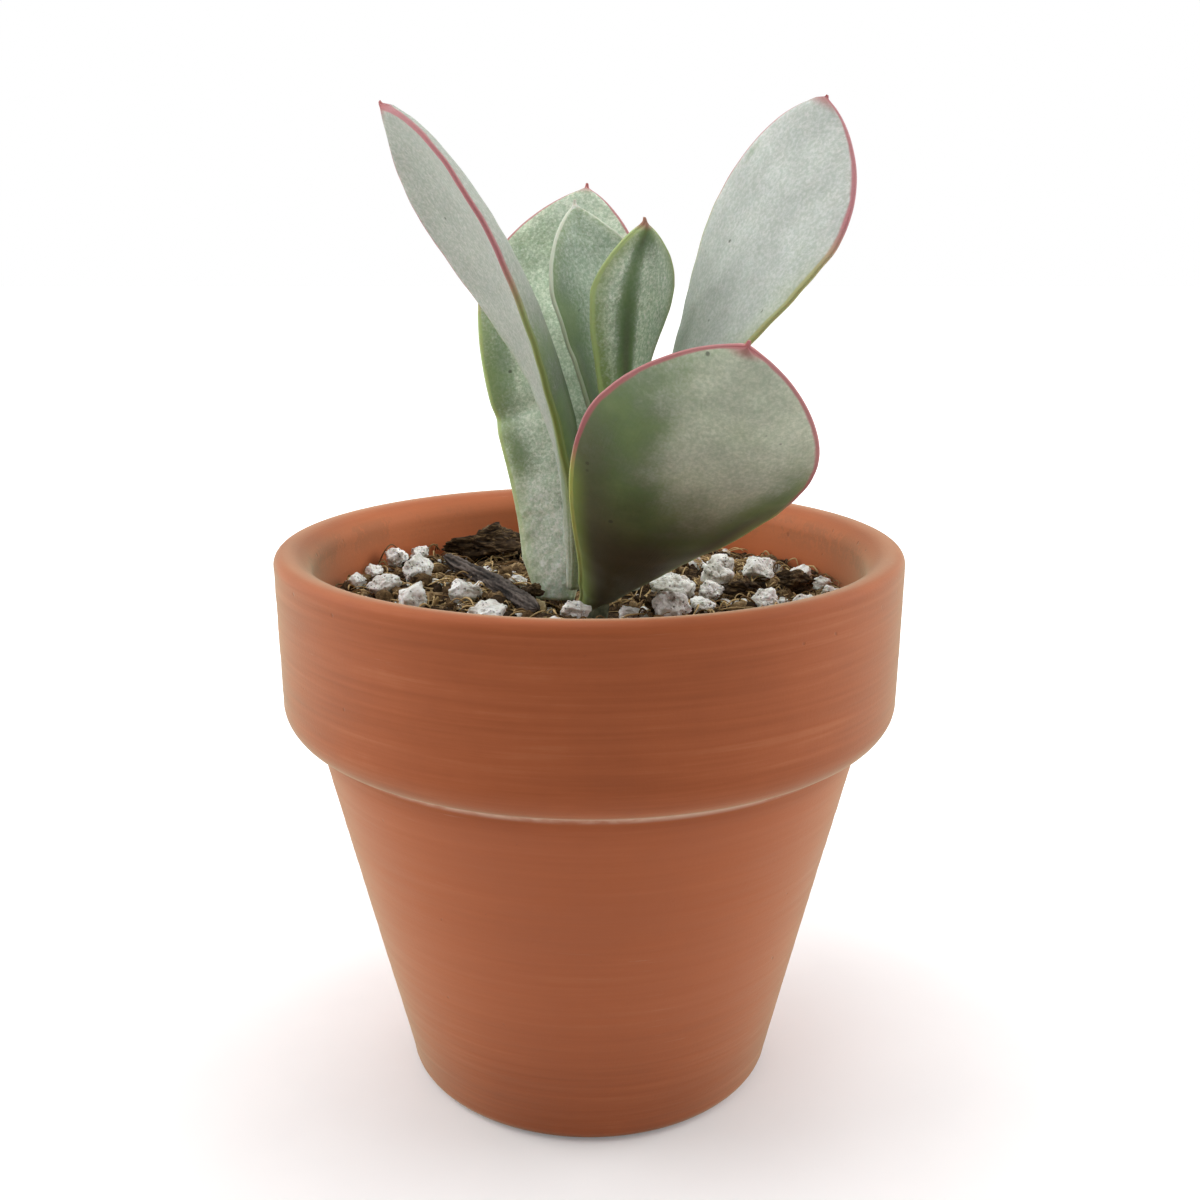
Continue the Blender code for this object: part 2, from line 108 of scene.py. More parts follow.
# Top of the mix, and how many loose bits lie on it
SOIL_SEGMENTS = 320
SOIL_RINGS = 120
CRUMB_RELIEF = 0.55 * MM
PIT_DEPTH = 0.5 * MM
CRUMB_COUNT = 1400
FINES_COUNT = 620
FIBRE_COUNT = 2100
FIBRE_STEPS = 9

# Camera
CAMERA_DISTANCE = 162.9 * MM
CAMERA_HEIGHT = 104.0 * MM
CAMERA_PITCH = 14.85
CAMERA_LENS = 40.71
CAMERA_SHIFT = 0.0089

# Lights: name, place, width and power in watts
LIGHTS = [
    ("light_left", (-0.45, 0.04, 0.25), 0.40, 1.4),
    ("light_right", (0.45, 0.04, 0.25), 0.40, 1.35),
    ("light_top", (0.0, 0.15, 0.60), 0.50, 1.0),
    ("light_front", (-0.16, -0.26, 0.70), 0.50, 1.1),
]


# ---------------------------------------------------------------- small helpers

def blend(pair, share):
    return pair[0] + (pair[1] - pair[0]) * share


def smooth(low, high, value):
    """0 at low, 1 at high, level beyond them, and a smooth rise between."""
    share = min(1.0, max(0.0, (value - low) / (high - low)))
    return share * share * (3.0 - 2.0 * share)


def fractal(point, scale, octaves, seed=0.0):
    """Summed noise, roughly from -1 to 1."""
    total = 0.0
    size = 1.0
    for _ in range(octaves):
        total += size * noise.noise(point * scale + Vector((seed, seed * 0.7, -seed)))
        scale *= 2.1
        size *= 0.5
    return total


def arc(centre, radius, start, end, count):
    """Points of an arc in the XZ plane, angles in degrees, both ends included."""
    points = []
    for i in range(count):
        angle = math.radians(start + (end - start) * i / (count - 1))
        points.append((centre[0] + radius * math.cos(angle), centre[1] + radius * math.sin(angle)))
    return points


def add_piece(name, verts, faces, material, replaced=(), fields=None):
    """A mesh object that rides on the body, with its own fields for its material to read."""
    mesh = bpy.data.meshes.new(name)
    mesh.from_pydata([tuple(v) for v in verts], [], faces)
    mesh.validate()
    mesh.shade_smooth()
    for field, values in (fields or {}).items():
        layer = mesh.attributes.new(field, "FLOAT", "POINT")
        layer.data.foreach_set("value", values)
    item = bpy.data.objects.new(name, mesh)
    bpy.context.scene.collection.objects.link(item)
    item.data.materials.append(material)
    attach(item, BODY)
    if replaced:
        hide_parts(*replaced)
    return item


def loops_to_faces(loop_count, points_in_loop, offset=0):
    """Quads between neighbouring closed loops, and a cap on each end."""
    faces = []
    for row in range(loop_count - 1):
        for k in range(points_in_loop):
            a = offset + row * points_in_loop + k
            b = offset + row * points_in_loop + (k + 1) % points_in_loop
            faces.append((a, b, b + points_in_loop, a + points_in_loop))
    faces.append(tuple(offset + k for k in reversed(range(points_in_loop))))
    last = offset + (loop_count - 1) * points_in_loop
    faces.append(tuple(last + k for k in range(points_in_loop)))
    return faces


# ---------------------------------------------------------------- material helpers

SOCKETS = {
    "specular": "Specular IOR Level",
    "sheen": "Sheen Weight",
    "sheen_roughness": "Sheen Roughness",
    "sheen_tint": "Sheen Tint",
    "subsurface": "Subsurface Weight",
    "subsurface_scale": "Subsurface Scale",
}


class Graph:
    """A material's nodes, added and joined by short calls."""

    def __init__(self, name):
        self.material = bpy.data.materials.new(name)
        self.material.use_nodes = True
        self.tree = self.material.node_tree
        self.shader = self.tree.nodes["Principled BSDF"]

    def put(self, socket, value):
        if isinstance(value, bpy.types.NodeSocket):
            self.tree.links.new(value, socket)
        elif isinstance(value, tuple) and len(value) == 3 and socket.type == "RGBA":
            socket.default_value = (*value, 1.0)
        else:
            socket.default_value = value

    def node(self, kind, settings, inputs):
        node = self.tree.nodes.new("ShaderNode" + kind)
        for key, value in settings.items():
            setattr(node, key, value)
        for key, value in inputs.items():
            self.put(node.inputs[key], value)
        return node

    def place(self):
        return self.node("TexCoord", {}, {}).outputs["Object"]

    def field(self, name):
        return self.node("Attribute", {"attribute_name": name}, {}).outputs["Fac"]

    def stretched(self, vector, factors):
        inputs = {0: vector, 1: factors}
        return self.node("VectorMath", {"operation": "MULTIPLY"}, inputs).outputs[0]

    def noise(self, vector, scale, detail=3.0, roughness=0.55, distortion=0.0):
        inputs = {"Vector": vector, "Scale": scale, "Detail": detail, "Roughness": roughness,
                  "Distortion": distortion}
        return self.node("TexNoise", {}, inputs).outputs["Fac"]

    def cells(self, vector, scale):
        return self.node("TexVoronoi", {}, {"Vector": vector, "Scale": scale}).outputs["Distance"]

    def math(self, operation, first, second=0.0):
        return self.node("Math", {"operation": operation}, {0: first, 1: second}).outputs[0]

    def times(self, first, second):
        return self.math("MULTIPLY", first, second)

    def plus(self, first, second):
        return self.math("ADD", first, second)

    def minus(self, first, second):
        return self.math("SUBTRACT", first, second)

    def span(self, value, low, high, start=0.0, end=1.0):
        """value from low..high to start..end, with a smooth rise."""
        inputs = {"Value": value, "From Min": low, "From Max": high, "To Min": start, "To Max": end}
        settings = {"interpolation_type": "SMOOTHSTEP"}
        return self.node("MapRange", settings, inputs).outputs[0]

    def ramp(self, value, stops):
        node = self.node("ValToRGB", {}, {0: value})
        elements = node.color_ramp.elements
        elements[0].position, elements[1].position = stops[0][0], stops[-1][0]
        elements[0].color, elements[1].color = (*stops[0][1], 1.0), (*stops[-1][1], 1.0)
        for position, colour in stops[1:-1]:
            elements.new(position).color = (*colour, 1.0)
        return node.outputs[0]

    def mix(self, share, first, second, mode="MIX"):
        settings = {"data_type": "RGBA", "blend_type": mode}
        return self.node("Mix", settings, {0: share, 6: first, 7: second}).outputs[2]

    def bump(self, height, strength, distance):
        inputs = {"Height": height, "Strength": strength, "Distance": distance}
        return self.node("Bump", {}, inputs).outputs[0]

    def finish(self, colour, roughness, normal, **constants):
        self.put(self.shader.inputs["Base Color"], colour)
        self.put(self.shader.inputs["Roughness"], roughness)
        self.put(self.shader.inputs["Normal"], normal)
        for key, value in constants.items():
            self.put(self.shader.inputs[SOCKETS[key]], value)
        return self.material


# ---------------------------------------------------------------- camera, light, floor

def add_camera():
    camera = bpy.data.objects.new("camera", bpy.data.cameras.new("camera"))
    bpy.context.scene.collection.objects.link(camera)
    camera.location = (0.0, -CAMERA_DISTANCE, CAMERA_HEIGHT)
    camera.rotation_euler = (math.radians(90.0 - CAMERA_PITCH), 0.0, 0.0)
    camera.data.sensor_width = 36.0
    camera.data.lens = CAMERA_LENS
    camera.data.shift_x = CAMERA_SHIFT
    camera.data.clip_start = 0.01
    bpy.context.scene.camera = camera


def add_area_light(name, place, size, power):
    light = bpy.data.lights.new(name, "AREA")
    light.shape = "DISK"
    light.size = size
    light.energy = power
    item = bpy.data.objects.new(name, light)
    bpy.context.scene.collection.objects.link(item)
    item.location = place
    item.rotation_euler = (Vector((0.0, 0.0, 0.05)) - Vector(place)).to_track_quat("-Z", "Y").to_euler()


def add_world():
    """White all round for what is seen, and dimmer from the front for what is lit."""
    world = bpy.data.worlds.new("studio")
    bpy.context.scene.world = world
    world.use_nodes = True
    tree = world.node_tree
    tree.nodes.clear()
    direction = tree.nodes.new("ShaderNodeTexCoord").outputs["Generated"]
    split = tree.nodes.new("ShaderNodeSeparateXYZ")
    tree.links.new(direction, split.inputs[0])
    level = tree.nodes.new("ShaderNodeMapRange")
    level.interpolation_type = "SMOOTHSTEP"
    for key, value in {"From Min": -1.0, "From Max": 0.45, "To Min": 0.03, "To Max": 0.80}.items():
        level.inputs[key].default_value = value
    tree.links.new(split.outputs["Y"], level.inputs["Value"])
    light = tree.nodes.new("ShaderNodeBackground")
    tree.links.new(level.outputs[0], light.inputs["Strength"])
    seen = tree.nodes.new("ShaderNodeBackground")
    ray = tree.nodes.new("ShaderNodeLightPath")
    choice = tree.nodes.new("ShaderNodeMixShader")
    tree.links.new(ray.outputs["Is Camera Ray"], choice.inputs[0])
    tree.links.new(light.outputs[0], choice.inputs[1])
    tree.links.new(seen.outputs[0], choice.inputs[2])
    output = tree.nodes.new("ShaderNodeOutputWorld")
    tree.links.new(choice.outputs[0], output.inputs[0])
    for background in (light, seen):
        background.inputs["Color"].default_value = (1.0, 1.0, 1.0, 1.0)


def add_floor():
    graph = Graph("floor")
    grain = graph.noise(graph.place(), 40.0)
    colour = graph.ramp(grain, [(0.3, (0.74, 0.74, 0.74)), (0.7, (0.78, 0.78, 0.78))])
    graph.put(graph.shader.inputs["Base Color"], colour)
    graph.shader.inputs["Roughness"].default_value = 0.9
    graph.shader.inputs["Specular IOR Level"].default_value = 0.1
    # Painted light: the floor glows for camera rays only, so it shows white without lighting anything;
    # the glow fades near the pot, leaving the floor round its base darker
    seen = graph.node("LightPath", {}, {}).outputs["Is Camera Ray"]
    graph.put(graph.shader.inputs["Emission Color"], (1.0, 1.0, 1.0))
    away = graph.node("VectorMath", {"operation": "LENGTH"}, {0: graph.place()}).outputs["Value"]
    painted_floor_glow = graph.span(away, 0.03, 0.20, 0.18, 0.80)
    graph.put(graph.shader.inputs["Emission Strength"], graph.times(seen, painted_floor_glow))
    bpy.ops.mesh.primitive_plane_add(size=6.0, location=(0.0, 0.0, 0.0))
    floor = bpy.context.object
    floor.name = "floor"
    floor.data.materials.append(graph.material)


def add_studio():
    add_camera()
    add_world()
    for name, place, size, power in LIGHTS:
        add_area_light(name, place, size, power)
    add_floor()
    bpy.context.scene.view_settings.view_transform = "Standard"


# ---------------------------------------------------------------- pot

def body_radius(z):
    """Outer radius of the tapered body below the collar."""
    taper = (BODY_TOP_RADIUS - BASE_RADIUS) / COLLAR_BOTTOM
    return BASE_RADIUS + taper * z


def inner_radius(z):
    """Inner radius of the pot: parallel to the body, then almost upright inside the collar."""
    def upright(height):
        return RIM_RADIUS - LIP_WIDTH - INSIDE_DRAFT * (POT_HEIGHT - height)

    if z >= SHOULDER:
        return upright(z)
    if z <= COLLAR_BOTTOM:
        return body_radius(z) - WALL
    share = (z - COLLAR_BOTTOM) / (SHOULDER - COLLAR_BOTTOM)
    return blend((body_radius(COLLAR_BOTTOM) - WALL, upright(SHOULDER)), share)


def straight(start, end, count):
    """Points from start to end, without the first one."""
    return [tuple(blend((a, b), i / count) for a, b in zip(start, end)) for i in range(1, count + 1)]


def pot_profile():
    """The wall's section in fine steps, down the outer side and back up the inner one."""
    top = POT_HEIGHT
    inner_round = LIP_WIDTH - LIP_ROUND
    lip_centre = RIM_RADIUS - LIP_ROUND
    edge_centre = (RIM_RADIUS - COLLAR_DRAFT - COLLAR_FILLET, COLLAR_BOTTOM + COLLAR_FILLET)
    reach = BODY_TOP_RADIUS + 0.15 * MM - edge_centre[0]
    edge_end = math.degrees(math.acos(reach / COLLAR_FILLET))
    points = arc((lip_centre, top - LIP_ROUND), LIP_ROUND, 90, 0, 10)
    edge = arc(edge_centre, COLLAR_FILLET, 0, -edge_end, 16)
    points += straight(points[-1], edge[0], 60)
    points += edge[1:]
    points += straight(points[-1], (body_radius(COLLAR_BOTTOM - 0.4 * MM), COLLAR_BOTTOM - 0.4 * MM), 3)
    points += straight(points[-1], (body_radius(BASE_FILLET), BASE_FILLET), 120)
    points += arc((body_radius(BASE_FILLET) - BASE_FILLET, BASE_FILLET), BASE_FILLET, -14, -90, 8)
    points += straight(points[-1], (DRAIN_RADIUS + 0.5 * MM, 0.0), 8)
    points += straight(points[-1], (DRAIN_RADIUS, 0.5 * MM), 2)
    points += straight(points[-1], (DRAIN_RADIUS, FLOOR_THICKNESS), 4)
    low = FLOOR_THICKNESS + 2.0 * MM
    points += straight(points[-1], (inner_radius(FLOOR_THICKNESS) - 2.0 * MM, FLOOR_THICKNESS), 6)
    points += straight(points[-1], (inner_radius(low), low), 2)
    points += straight(points[-1], (inner_radius(COLLAR_BOTTOM), COLLAR_BOTTOM), 12)
    points += straight(points[-1], (inner_radius(SHOULDER), SHOULDER), 6)
    points += straight(points[-1], (inner_radius(top - inner_round), top - inner_round), 14)
    round_centre = (inner_radius(top - inner_round) + inner_round, top - inner_round)
    points += arc(round_centre, inner_round, 178, 92, 20)
    return points


def build_pot(material):
    """The turned pot, a little out of round, with shallow rings left by the turning."""
    profile = pot_profile()
    verts = []
    for radius, z in profile:
        outside = smooth(0.0, 1.0 * MM, radius - inner_radius(z) - 0.4 * WALL)
        for k in range(POT_SEGMENTS):
            angle = math.tau * k / POT_SEGMENTS
            direction = Vector((math.cos(angle), math.sin(angle), 0.0))
            place = direction * radius + Vector((0.0, 0.0, z))
            wobble = OUT_OF_ROUND * noise.noise(place * 28.0)
            level = Vector((direction.x * 2.0, direction.y * 2.0, z * 900.0))
            rings = TURNING_RINGS * noise.noise(level)
            moved = radius - POT_INSET + (wobble + rings) * outside * smooth(0.0, 4.0 * MM, z)
            verts.append(direction * moved + Vector((0.0, 0.0, z)))
    faces = []
    count = len(profile)
    for row in range(count):
        for k in range(POT_SEGMENTS):
            a = row * POT_SEGMENTS + k
            b = row * POT_SEGMENTS + (k + 1) % POT_SEGMENTS
            below = ((row + 1) % count) * POT_SEGMENTS
            faces.append((a, below + k, below + (k + 1) % POT_SEGMENTS, b))
    return add_piece("terracotta_pot", verts, faces, material, ["pot"])


def terracotta_material():
    graph = Graph("terracotta")
    place = graph.place()
    split = graph.node("SeparateXYZ", {}, {0: place})
    x, y, z = split.outputs
    radius = graph.math("SQRT", graph.plus(graph.times(x, x), graph.times(y, y)))
    streaks = graph.noise(graph.stretched(place, (45.0, 45.0, 1500.0)), 1.0, 5.0, 0.6)
    wide = graph.noise(graph.stretched(place, (26.0, 26.0, 260.0)), 1.0, 3.0)
    mottle = graph.noise(place, 75.0, 5.0, 0.6)
    tone = graph.plus(graph.times(streaks, 0.42), graph.times(mottle, 0.33))
    tone = graph.plus(tone, graph.times(wide, 0.25))
    clay = graph.ramp(tone, [
        (0.32, (0.330, 0.078, 0.022)), (0.46, (0.385, 0.093, 0.027)),
        (0.55, (0.425, 0.106, 0.033)), (0.68, (0.490, 0.148, 0.058))])

    # Painted light: the tapered body is painted a little lighter than the collar, standing in for light
    # bounced up from the floor; the painted bounce fades out towards its foot, which is left darker as
    # painted shade by the floor
    below = graph.minus(1.0, graph.span(z, COLLAR_BOTTOM - 4.0 * MM, COLLAR_BOTTOM))
    above_foot = graph.span(z, 2.0 * MM, 22.0 * MM)
    painted_floor_bounce = graph.times(graph.times(below, above_foot), 0.62)
    clay = graph.mix(painted_floor_bounce, clay, (0.53, 0.145, 0.054))

    # Pale scuffs: thin, broken and mostly level
    scuff = graph.noise(graph.stretched(place, (120.0, 120.0, 2600.0)), 1.0, 4.0, 0.7, 0.4)
    patch = graph.span(graph.noise(place, 60.0), 0.5, 0.75)
    scuff = graph.times(graph.span(scuff, 0.60, 0.74), patch)
    clay = graph.mix(graph.times(scuff, 0.35), clay, (0.60, 0.36, 0.24))

    # Painted highlight: a pale broken line where the collar meets the body, standing in for floor light
    # caught on the collar's rounded lower edge
    crease = graph.math("ABSOLUTE", graph.minus(z, COLLAR_BOTTOM - 0.1 * MM))
    ragged = graph.noise(graph.stretched(place, (300.0, 300.0, 900.0)), 1.0, 3.0)
    line = graph.minus(1.0, graph.span(crease, 0.25 * MM, 1.0 * MM))
    around = graph.noise(graph.stretched(place, (45.0, 45.0, 20.0)), 1.0, 2.0)
    line = graph.times(line, graph.span(graph.plus(ragged, around), 0.78, 1.15, 0.25, 1.0))
    outside = graph.span(radius, 30.0 * MM, 31.5 * MM)
    line = graph.times(line, outside)
    clay = graph.mix(graph.times(line, 0.85), clay, (0.78, 0.56, 0.42))

    # Inside the rim: warmer and damp low down, grey and dusty under the lip
    wall = graph.minus(1.0, graph.span(radius, 33.6 * MM, 35.2 * MM))
    above = graph.span(z, SOIL_LEVEL - 6.0 * MM, SOIL_LEVEL - 5.0 * MM)
    wall = graph.times(wall, above)
    damp = graph.minus(1.0, graph.span(z, SOIL_LEVEL, POT_HEIGHT - 2.2 * MM))
    clay = graph.mix(graph.times(wall, 0.6), clay, (0.58, 0.190, 0.078))
    clay = graph.mix(graph.times(graph.times(damp, wall), 0.6), clay, (0.50, 0.115, 0.028))
    under_lip = graph.span(z, POT_HEIGHT - 6.0 * MM, POT_HEIGHT - 3.2 * MM)
    on_lip = graph.span(z, POT_HEIGHT - 1.8 * MM, POT_HEIGHT - 0.3 * MM)
    under_lip = graph.times(under_lip, graph.minus(1.0, on_lip))
    sides = graph.span(graph.math("ABSOLUTE", x), 14.0 * MM, 30.0 * MM, 0.25, 1.0)
    dust = graph.times(graph.times(under_lip, sides), wall)
    grit = graph.noise(place, 1400.0, 4.0, 0.7)
    dust = graph.times(dust, graph.span(graph.plus(grit, graph.noise(place, 160.0)), 0.98, 1.12))
    clay = graph.mix(graph.times(dust, 0.22), clay, (0.15, 0.095, 0.050))

    # Dark pinholes
    holes = graph.cells(place, 420.0)
    dusty = graph.times(graph.times(under_lip, sides), 0.22)
    chance = graph.span(graph.plus(graph.noise(place, 900.0, 1.0), dusty), 0.68, 0.72)
    pinholes = graph.times(graph.minus(1.0, graph.span(holes, 0.07, 0.16)), chance)
    clay = graph.mix(graph.times(pinholes, 0.35), clay, (0.10, 0.035, 0.02))

    fine = graph.noise(place, 2600.0, 3.0, 0.7)
    height = graph.plus(graph.times(streaks, 0.6), graph.times(fine, 0.4))
    height = graph.minus(height, graph.times(pinholes, 0.8))
    normal = graph.bump(height, 0.35, 0.12 * MM)
    roughness = graph.span(mottle, 0.3, 0.7, 0.62, 0.74)
    return graph.finish(clay, roughness, normal, specular=0.25, sheen=0.5, sheen_roughness=0.4,
                        sheen_tint=(0.85, 1.0, 0.72))


# ---------------------------------------------------------------- leaves

# The same blades as in the CAD model. Lengths are in millimetres and angles in degrees.
LEAVES = {
    "leaf_front": dict(
        foot=(-106, 2.15, 0.9), bearing=-60.4, sweep=-5.5, lean=(54, 35.6),
        roll=(-12, -32), length=46.6,
        half_width=12.6, foot_half_width=2.6, widest=0.66, shoulder=1.83, point=0.74, rise=0.84,
        cup=0.11, skew=-0.03, thickness=(3.4, 1.8)),
    "leaf_back": dict(
        foot=(143.7, 4.48, -0.6), bearing=82.6, sweep=-8, lean=(11.3, 27.5), roll=(1, 3.4), length=53.8,
        half_width=10.8, foot_half_width=3.9, widest=0.72, shoulder=1.73, point=0.78, rise=1.08,
        cup=0.12, skew=-0.14, thickness=(3.4, 1.8)),
    "leaf_left": dict(
        foot=(188.8, 1.66, 2.0), bearing=189.2, sweep=-13.9, lean=(-5.7, 47.7),
        roll=(-9.2, 27.8), length=62.5,
        half_width=13.1, foot_half_width=2.5, widest=0.667, shoulder=2.6, point=0.94, rise=1.02,
        cup=-0.2, skew=0.1, thickness=(3.4, 1.8)),
    "leaf_right": dict(
        foot=(0, 2.28, 2.0), bearing=-4.7, sweep=0, lean=(7.7, 33.5), roll=(-3, 42), length=61.3,
        half_width=13.1, foot_half_width=3.0, widest=0.74, shoulder=1.78, point=0.69, rise=1.39,
        cup=0.0, skew=0.29, thickness=(3.4, 1.8)),
    "leaf_inner_left": dict(
        foot=(106.8, 1.01, 6.6), bearing=144.3, sweep=-30, lean=(-7.8, 25), roll=(17, 5.6), length=42,
        half_width=8.9, foot_half_width=2.3, widest=0.72, shoulder=1.43, point=0.84, rise=1.42,
        cup=0.22, skew=0.14, thickness=(2.4, 1.5)),
    "leaf_inner_right": dict(
        foot=(-65.1, 0.16, 6.6), bearing=-39, sweep=-21, lean=(2.8, 13.3), roll=(16, 9.4), length=39.3,
        half_width=7.0, foot_half_width=2.2, widest=0.79, shoulder=1.55, point=0.83, rise=1.71,
        cup=0.19, skew=-0.14, thickness=(2.4, 1.5)),
}

# How each blade is coloured. The powder colour is that of its pale bloom, set lighter or darker
# blade by blade to make up for how much light reaches it, so it is partly painted light; bloom is how
# much it covers.
# margin is the colour of the blade's edge, pink the place along it from which it is pink,
# and the band setting how strong the soft green beside it is, partly the margin's own lime colour
# and partly a painted glow standing in for light through the thin edge. tip is the length of its
# pointed end in millimetres. grain is how speckled the bloom is, streaks how much of its unevenness
# runs lengthwise, soft how blurred its patches are, and the frost setting how much whiter the bloom
# is painted towards the foot, partly thicker bloom there and partly painted light making up for
# shade on the lower blade.
# bare lists worn patches, where the bloom is rubbed off; where they add up most the flesh is also
# painted dark olive as painted shade. Each gives the place along and across the blade, how far the
# patch reaches along and across, and how strong it is.
LOOKS = {
    "leaf_front": dict(
        powder_and_painted_light=(0.59, 0.64, 0.50), bloom=0.66, pink=0.55, margin=(0.46, 0.56, 0.12), tip=0.5,
        grain=0.45, streaks=0.0, soft=0.08, green_band_and_painted_glow=0.85, frost_and_painted_light=0.0,
        bare=[(0.02, 0.0, 0.70, 1.9, 2.1), (0.60, 0.95, 0.52, 0.95, 1.05),
              (0.50, -0.95, 0.36, 0.50, 1.0), (0.52, 0.25, 0.14, 0.30, 0.3),
              (0.72, 0.45, 0.16, 0.3, 0.25), (0.80, -0.1, 0.16, 0.5, 0.12)]),
    "leaf_back": dict(
        powder_and_painted_light=(0.76, 0.85, 0.69), bloom=0.66, pink=0.70, margin=(0.38, 0.50, 0.16), tip=0.6,
        grain=0.85, streaks=0.2, soft=0.0, green_band_and_painted_glow=0.45, frost_and_painted_light=1.0,
        bare=[(0.72, -0.85, 0.45, 0.60, 0.30), (0.62, 0.35, 0.16, 0.7, 0.30),
              (0.40, 0.5, 0.12, 0.6, 0.25), (0.33, -0.7, 0.10, 0.5, 0.45),
              (0.85, -0.2, 0.14, 0.8, 0.30), (0.24, 0.2, 0.06, 0.6, 0.25),
              (0.50, -0.9, 0.20, 0.4, 0.40)]),
    "leaf_left": dict(
        powder_and_painted_light=(0.44, 0.465, 0.405), bloom=0.74, pink=0.60, margin=(0.24, 0.30, 0.06), tip=0.5,
        grain=0.7, streaks=0.5, soft=0.0, green_band_and_painted_glow=0.15, frost_and_painted_light=0.0,
        bare=[(0.34, -0.7, 0.34, 1.5, 0.85), (0.95, 0.0, 0.2, 1.0, 0.1)]),
    "leaf_right": dict(
        powder_and_painted_light=(0.53, 0.56, 0.52), bloom=0.78, pink=0.76, margin=(0.38, 0.38, 0.13), tip=0.3,
        grain=0.5, streaks=0.1, soft=0.0, green_band_and_painted_glow=0.25, frost_and_painted_light=0.9,
        bare=[(0.42, 0.8, 0.22, 0.38, 0.50), (0.86, -0.8, 0.05, 0.2, 0.4),
              (0.70, 0.8, 0.25, 0.2, 0.3)]),
    "leaf_inner_left": dict(
        powder_and_painted_light=(0.60, 0.68, 0.58), bloom=0.62, pink=1.2, margin=(0.74, 0.78, 0.64), tip=0.6,
        grain=1.0, streaks=0.2, soft=0.0, green_band_and_painted_glow=0.25, frost_and_painted_light=0.3,
        bare=[(0.50, -0.85, 0.55, 0.90, 0.95), (0.25, 0.0, 0.3, 1.2, 0.7),
              (0.92, 0.0, 0.12, 0.8, 0.2)]),
    "leaf_inner_right": dict(
        powder_and_painted_light=(0.90, 0.97, 0.84), bloom=0.68, pink=1.2, margin=(0.50, 0.64, 0.25), tip=0.5,
        grain=1.0, streaks=0.2, soft=0.0, green_band_and_painted_glow=0.6, frost_and_painted_light=0.2,
        bare=[(0.60, 0.30, 0.60, 0.42, 1.15), (0.98, 0.0, 0.12, 1.1, 0.9), (0.40, 0.9, 0.6, 0.6, 0.5),
              (0.15, 0.0, 0.3, 1.2, 0.6)]),
}


def stem_centre(z):
    """The stem's axis leans towards +X as it rises from the mix."""
    return Vector((STEM_X + STEM_LEAN * (z - SOIL_LEVEL), 0.0, z))


def leaf_half_width(leaf, t):
    """A narrow foot that swells to the blade, then rounds off to a blunt point."""
    widest = leaf["widest"]
    full = leaf["half_width"]
    if t < widest:
        swell = 0.5 - 0.5 * math.cos(math.pi * (t / widest) ** leaf["rise"])
        width = leaf["foot_half_width"] + (full - leaf["foot_half_width"]) * swell
    else:
        beyond = min(1.0, (t - widest) / (1.0 - widest))
        width = full * max(0.0, 1.0 - beyond ** leaf["shoulder"]) ** leaf["point"]
    gathered = min(1.0, 0.62 + 4.0 * t)
    return max(width * gathered * MM, LEAF_TIP_HALF_WIDTH)


def leaf_frame(leaf, t):
    """Direction of the spine at t, the way its inner face looks, and its side."""
    lean = math.radians(blend(leaf["lean"], t))
    bearing = math.radians(leaf["bearing"] + leaf["sweep"] * t)
    roll = math.radians(blend(leaf["roll"], t))
    out = Vector((math.cos(bearing), math.sin(bearing), 0.0))
    up = Vector((0.0, 0.0, 1.0))
    along = out * math.sin(lean) + up * math.cos(lean)
    inward = up * math.sin(lean) - out * math.cos(lean)
    side = along.cross(inward)
    face = inward * math.cos(roll) + side * math.sin(roll)
    across = side * math.cos(roll) - inward * math.sin(roll)
    return along, face, across


def leaf_spine(leaf, t):
    """Point of the spine at t, on the same small straight steps as the CAD blade."""
    turn, out, height = leaf["foot"]
    angle = math.radians(turn)
    reach = STEM_RADIUS + out * MM
    foot = stem_centre(SOIL_LEVEL + height * MM)
    point = foot + Vector((math.cos(angle), math.sin(angle), 0.0)) * reach
    step = leaf["length"] * MM / CAD_ROWS
    for row in range(CAD_ROWS):
        share = min(1.0, max(0.0, t * CAD_ROWS - row))
        point = point + leaf_frame(leaf, (row + 0.5) / CAD_ROWS)[0] * step * share
    return point


def leaf_thickness(leaf, t, u):
    """Fleshy along the spine, thin at the margins and finer again at the tip."""
    foot, tip = leaf["thickness"]
    middle = (tip + (foot - tip) * (1.0 - t) ** 1.3) * MM
    middle = min(middle, LEAF_EDGE * 0.6 + 0.9 * leaf_half_width(leaf, t))
    return max(middle * math.sqrt(max(0.0, 1.0 - 0.93 * u * u)), LEAF_EDGE * 0.6)


def leaf_section():
    """Round the blade: (u, side of the middle surface, turn of the rounded margin)."""
    section = []
    for k in range(LEAF_COLUMNS + 1):
        u = math.sin(math.pi / 2 * (2.0 * k / LEAF_COLUMNS - 1.0))
        section.append((u, 1.0, 90.0))
    for k in range(1, MARGIN_STEPS):
        section.append((1.0, 0.0, 90.0 - 180.0 * k / MARGIN_STEPS))
    for k in range(LEAF_COLUMNS + 1):
        u = -math.sin(math.pi / 2 * (2.0 * k / LEAF_COLUMNS - 1.0))
        section.append((u, -1.0, -90.0))
    for k in range(1, MARGIN_STEPS):
        section.append((-1.0, 0.0, -90.0 - 180.0 * k / MARGIN_STEPS))
    return section


def wear_and_painted_shade_at(look, t, u):
    """How far the bloom is worn off at a place of the blade; its strongest values also paint the flesh
    dark as painted shade.
    """
    worn = 0.0
    for along, across, reach_along, reach_across, strength in look["bare"]:
        far = math.hypot((t - along) / reach_along, (u - across) / reach_across)
        worn += strength * (1.0 - smooth(0.0, 1.0, far))
    return worn


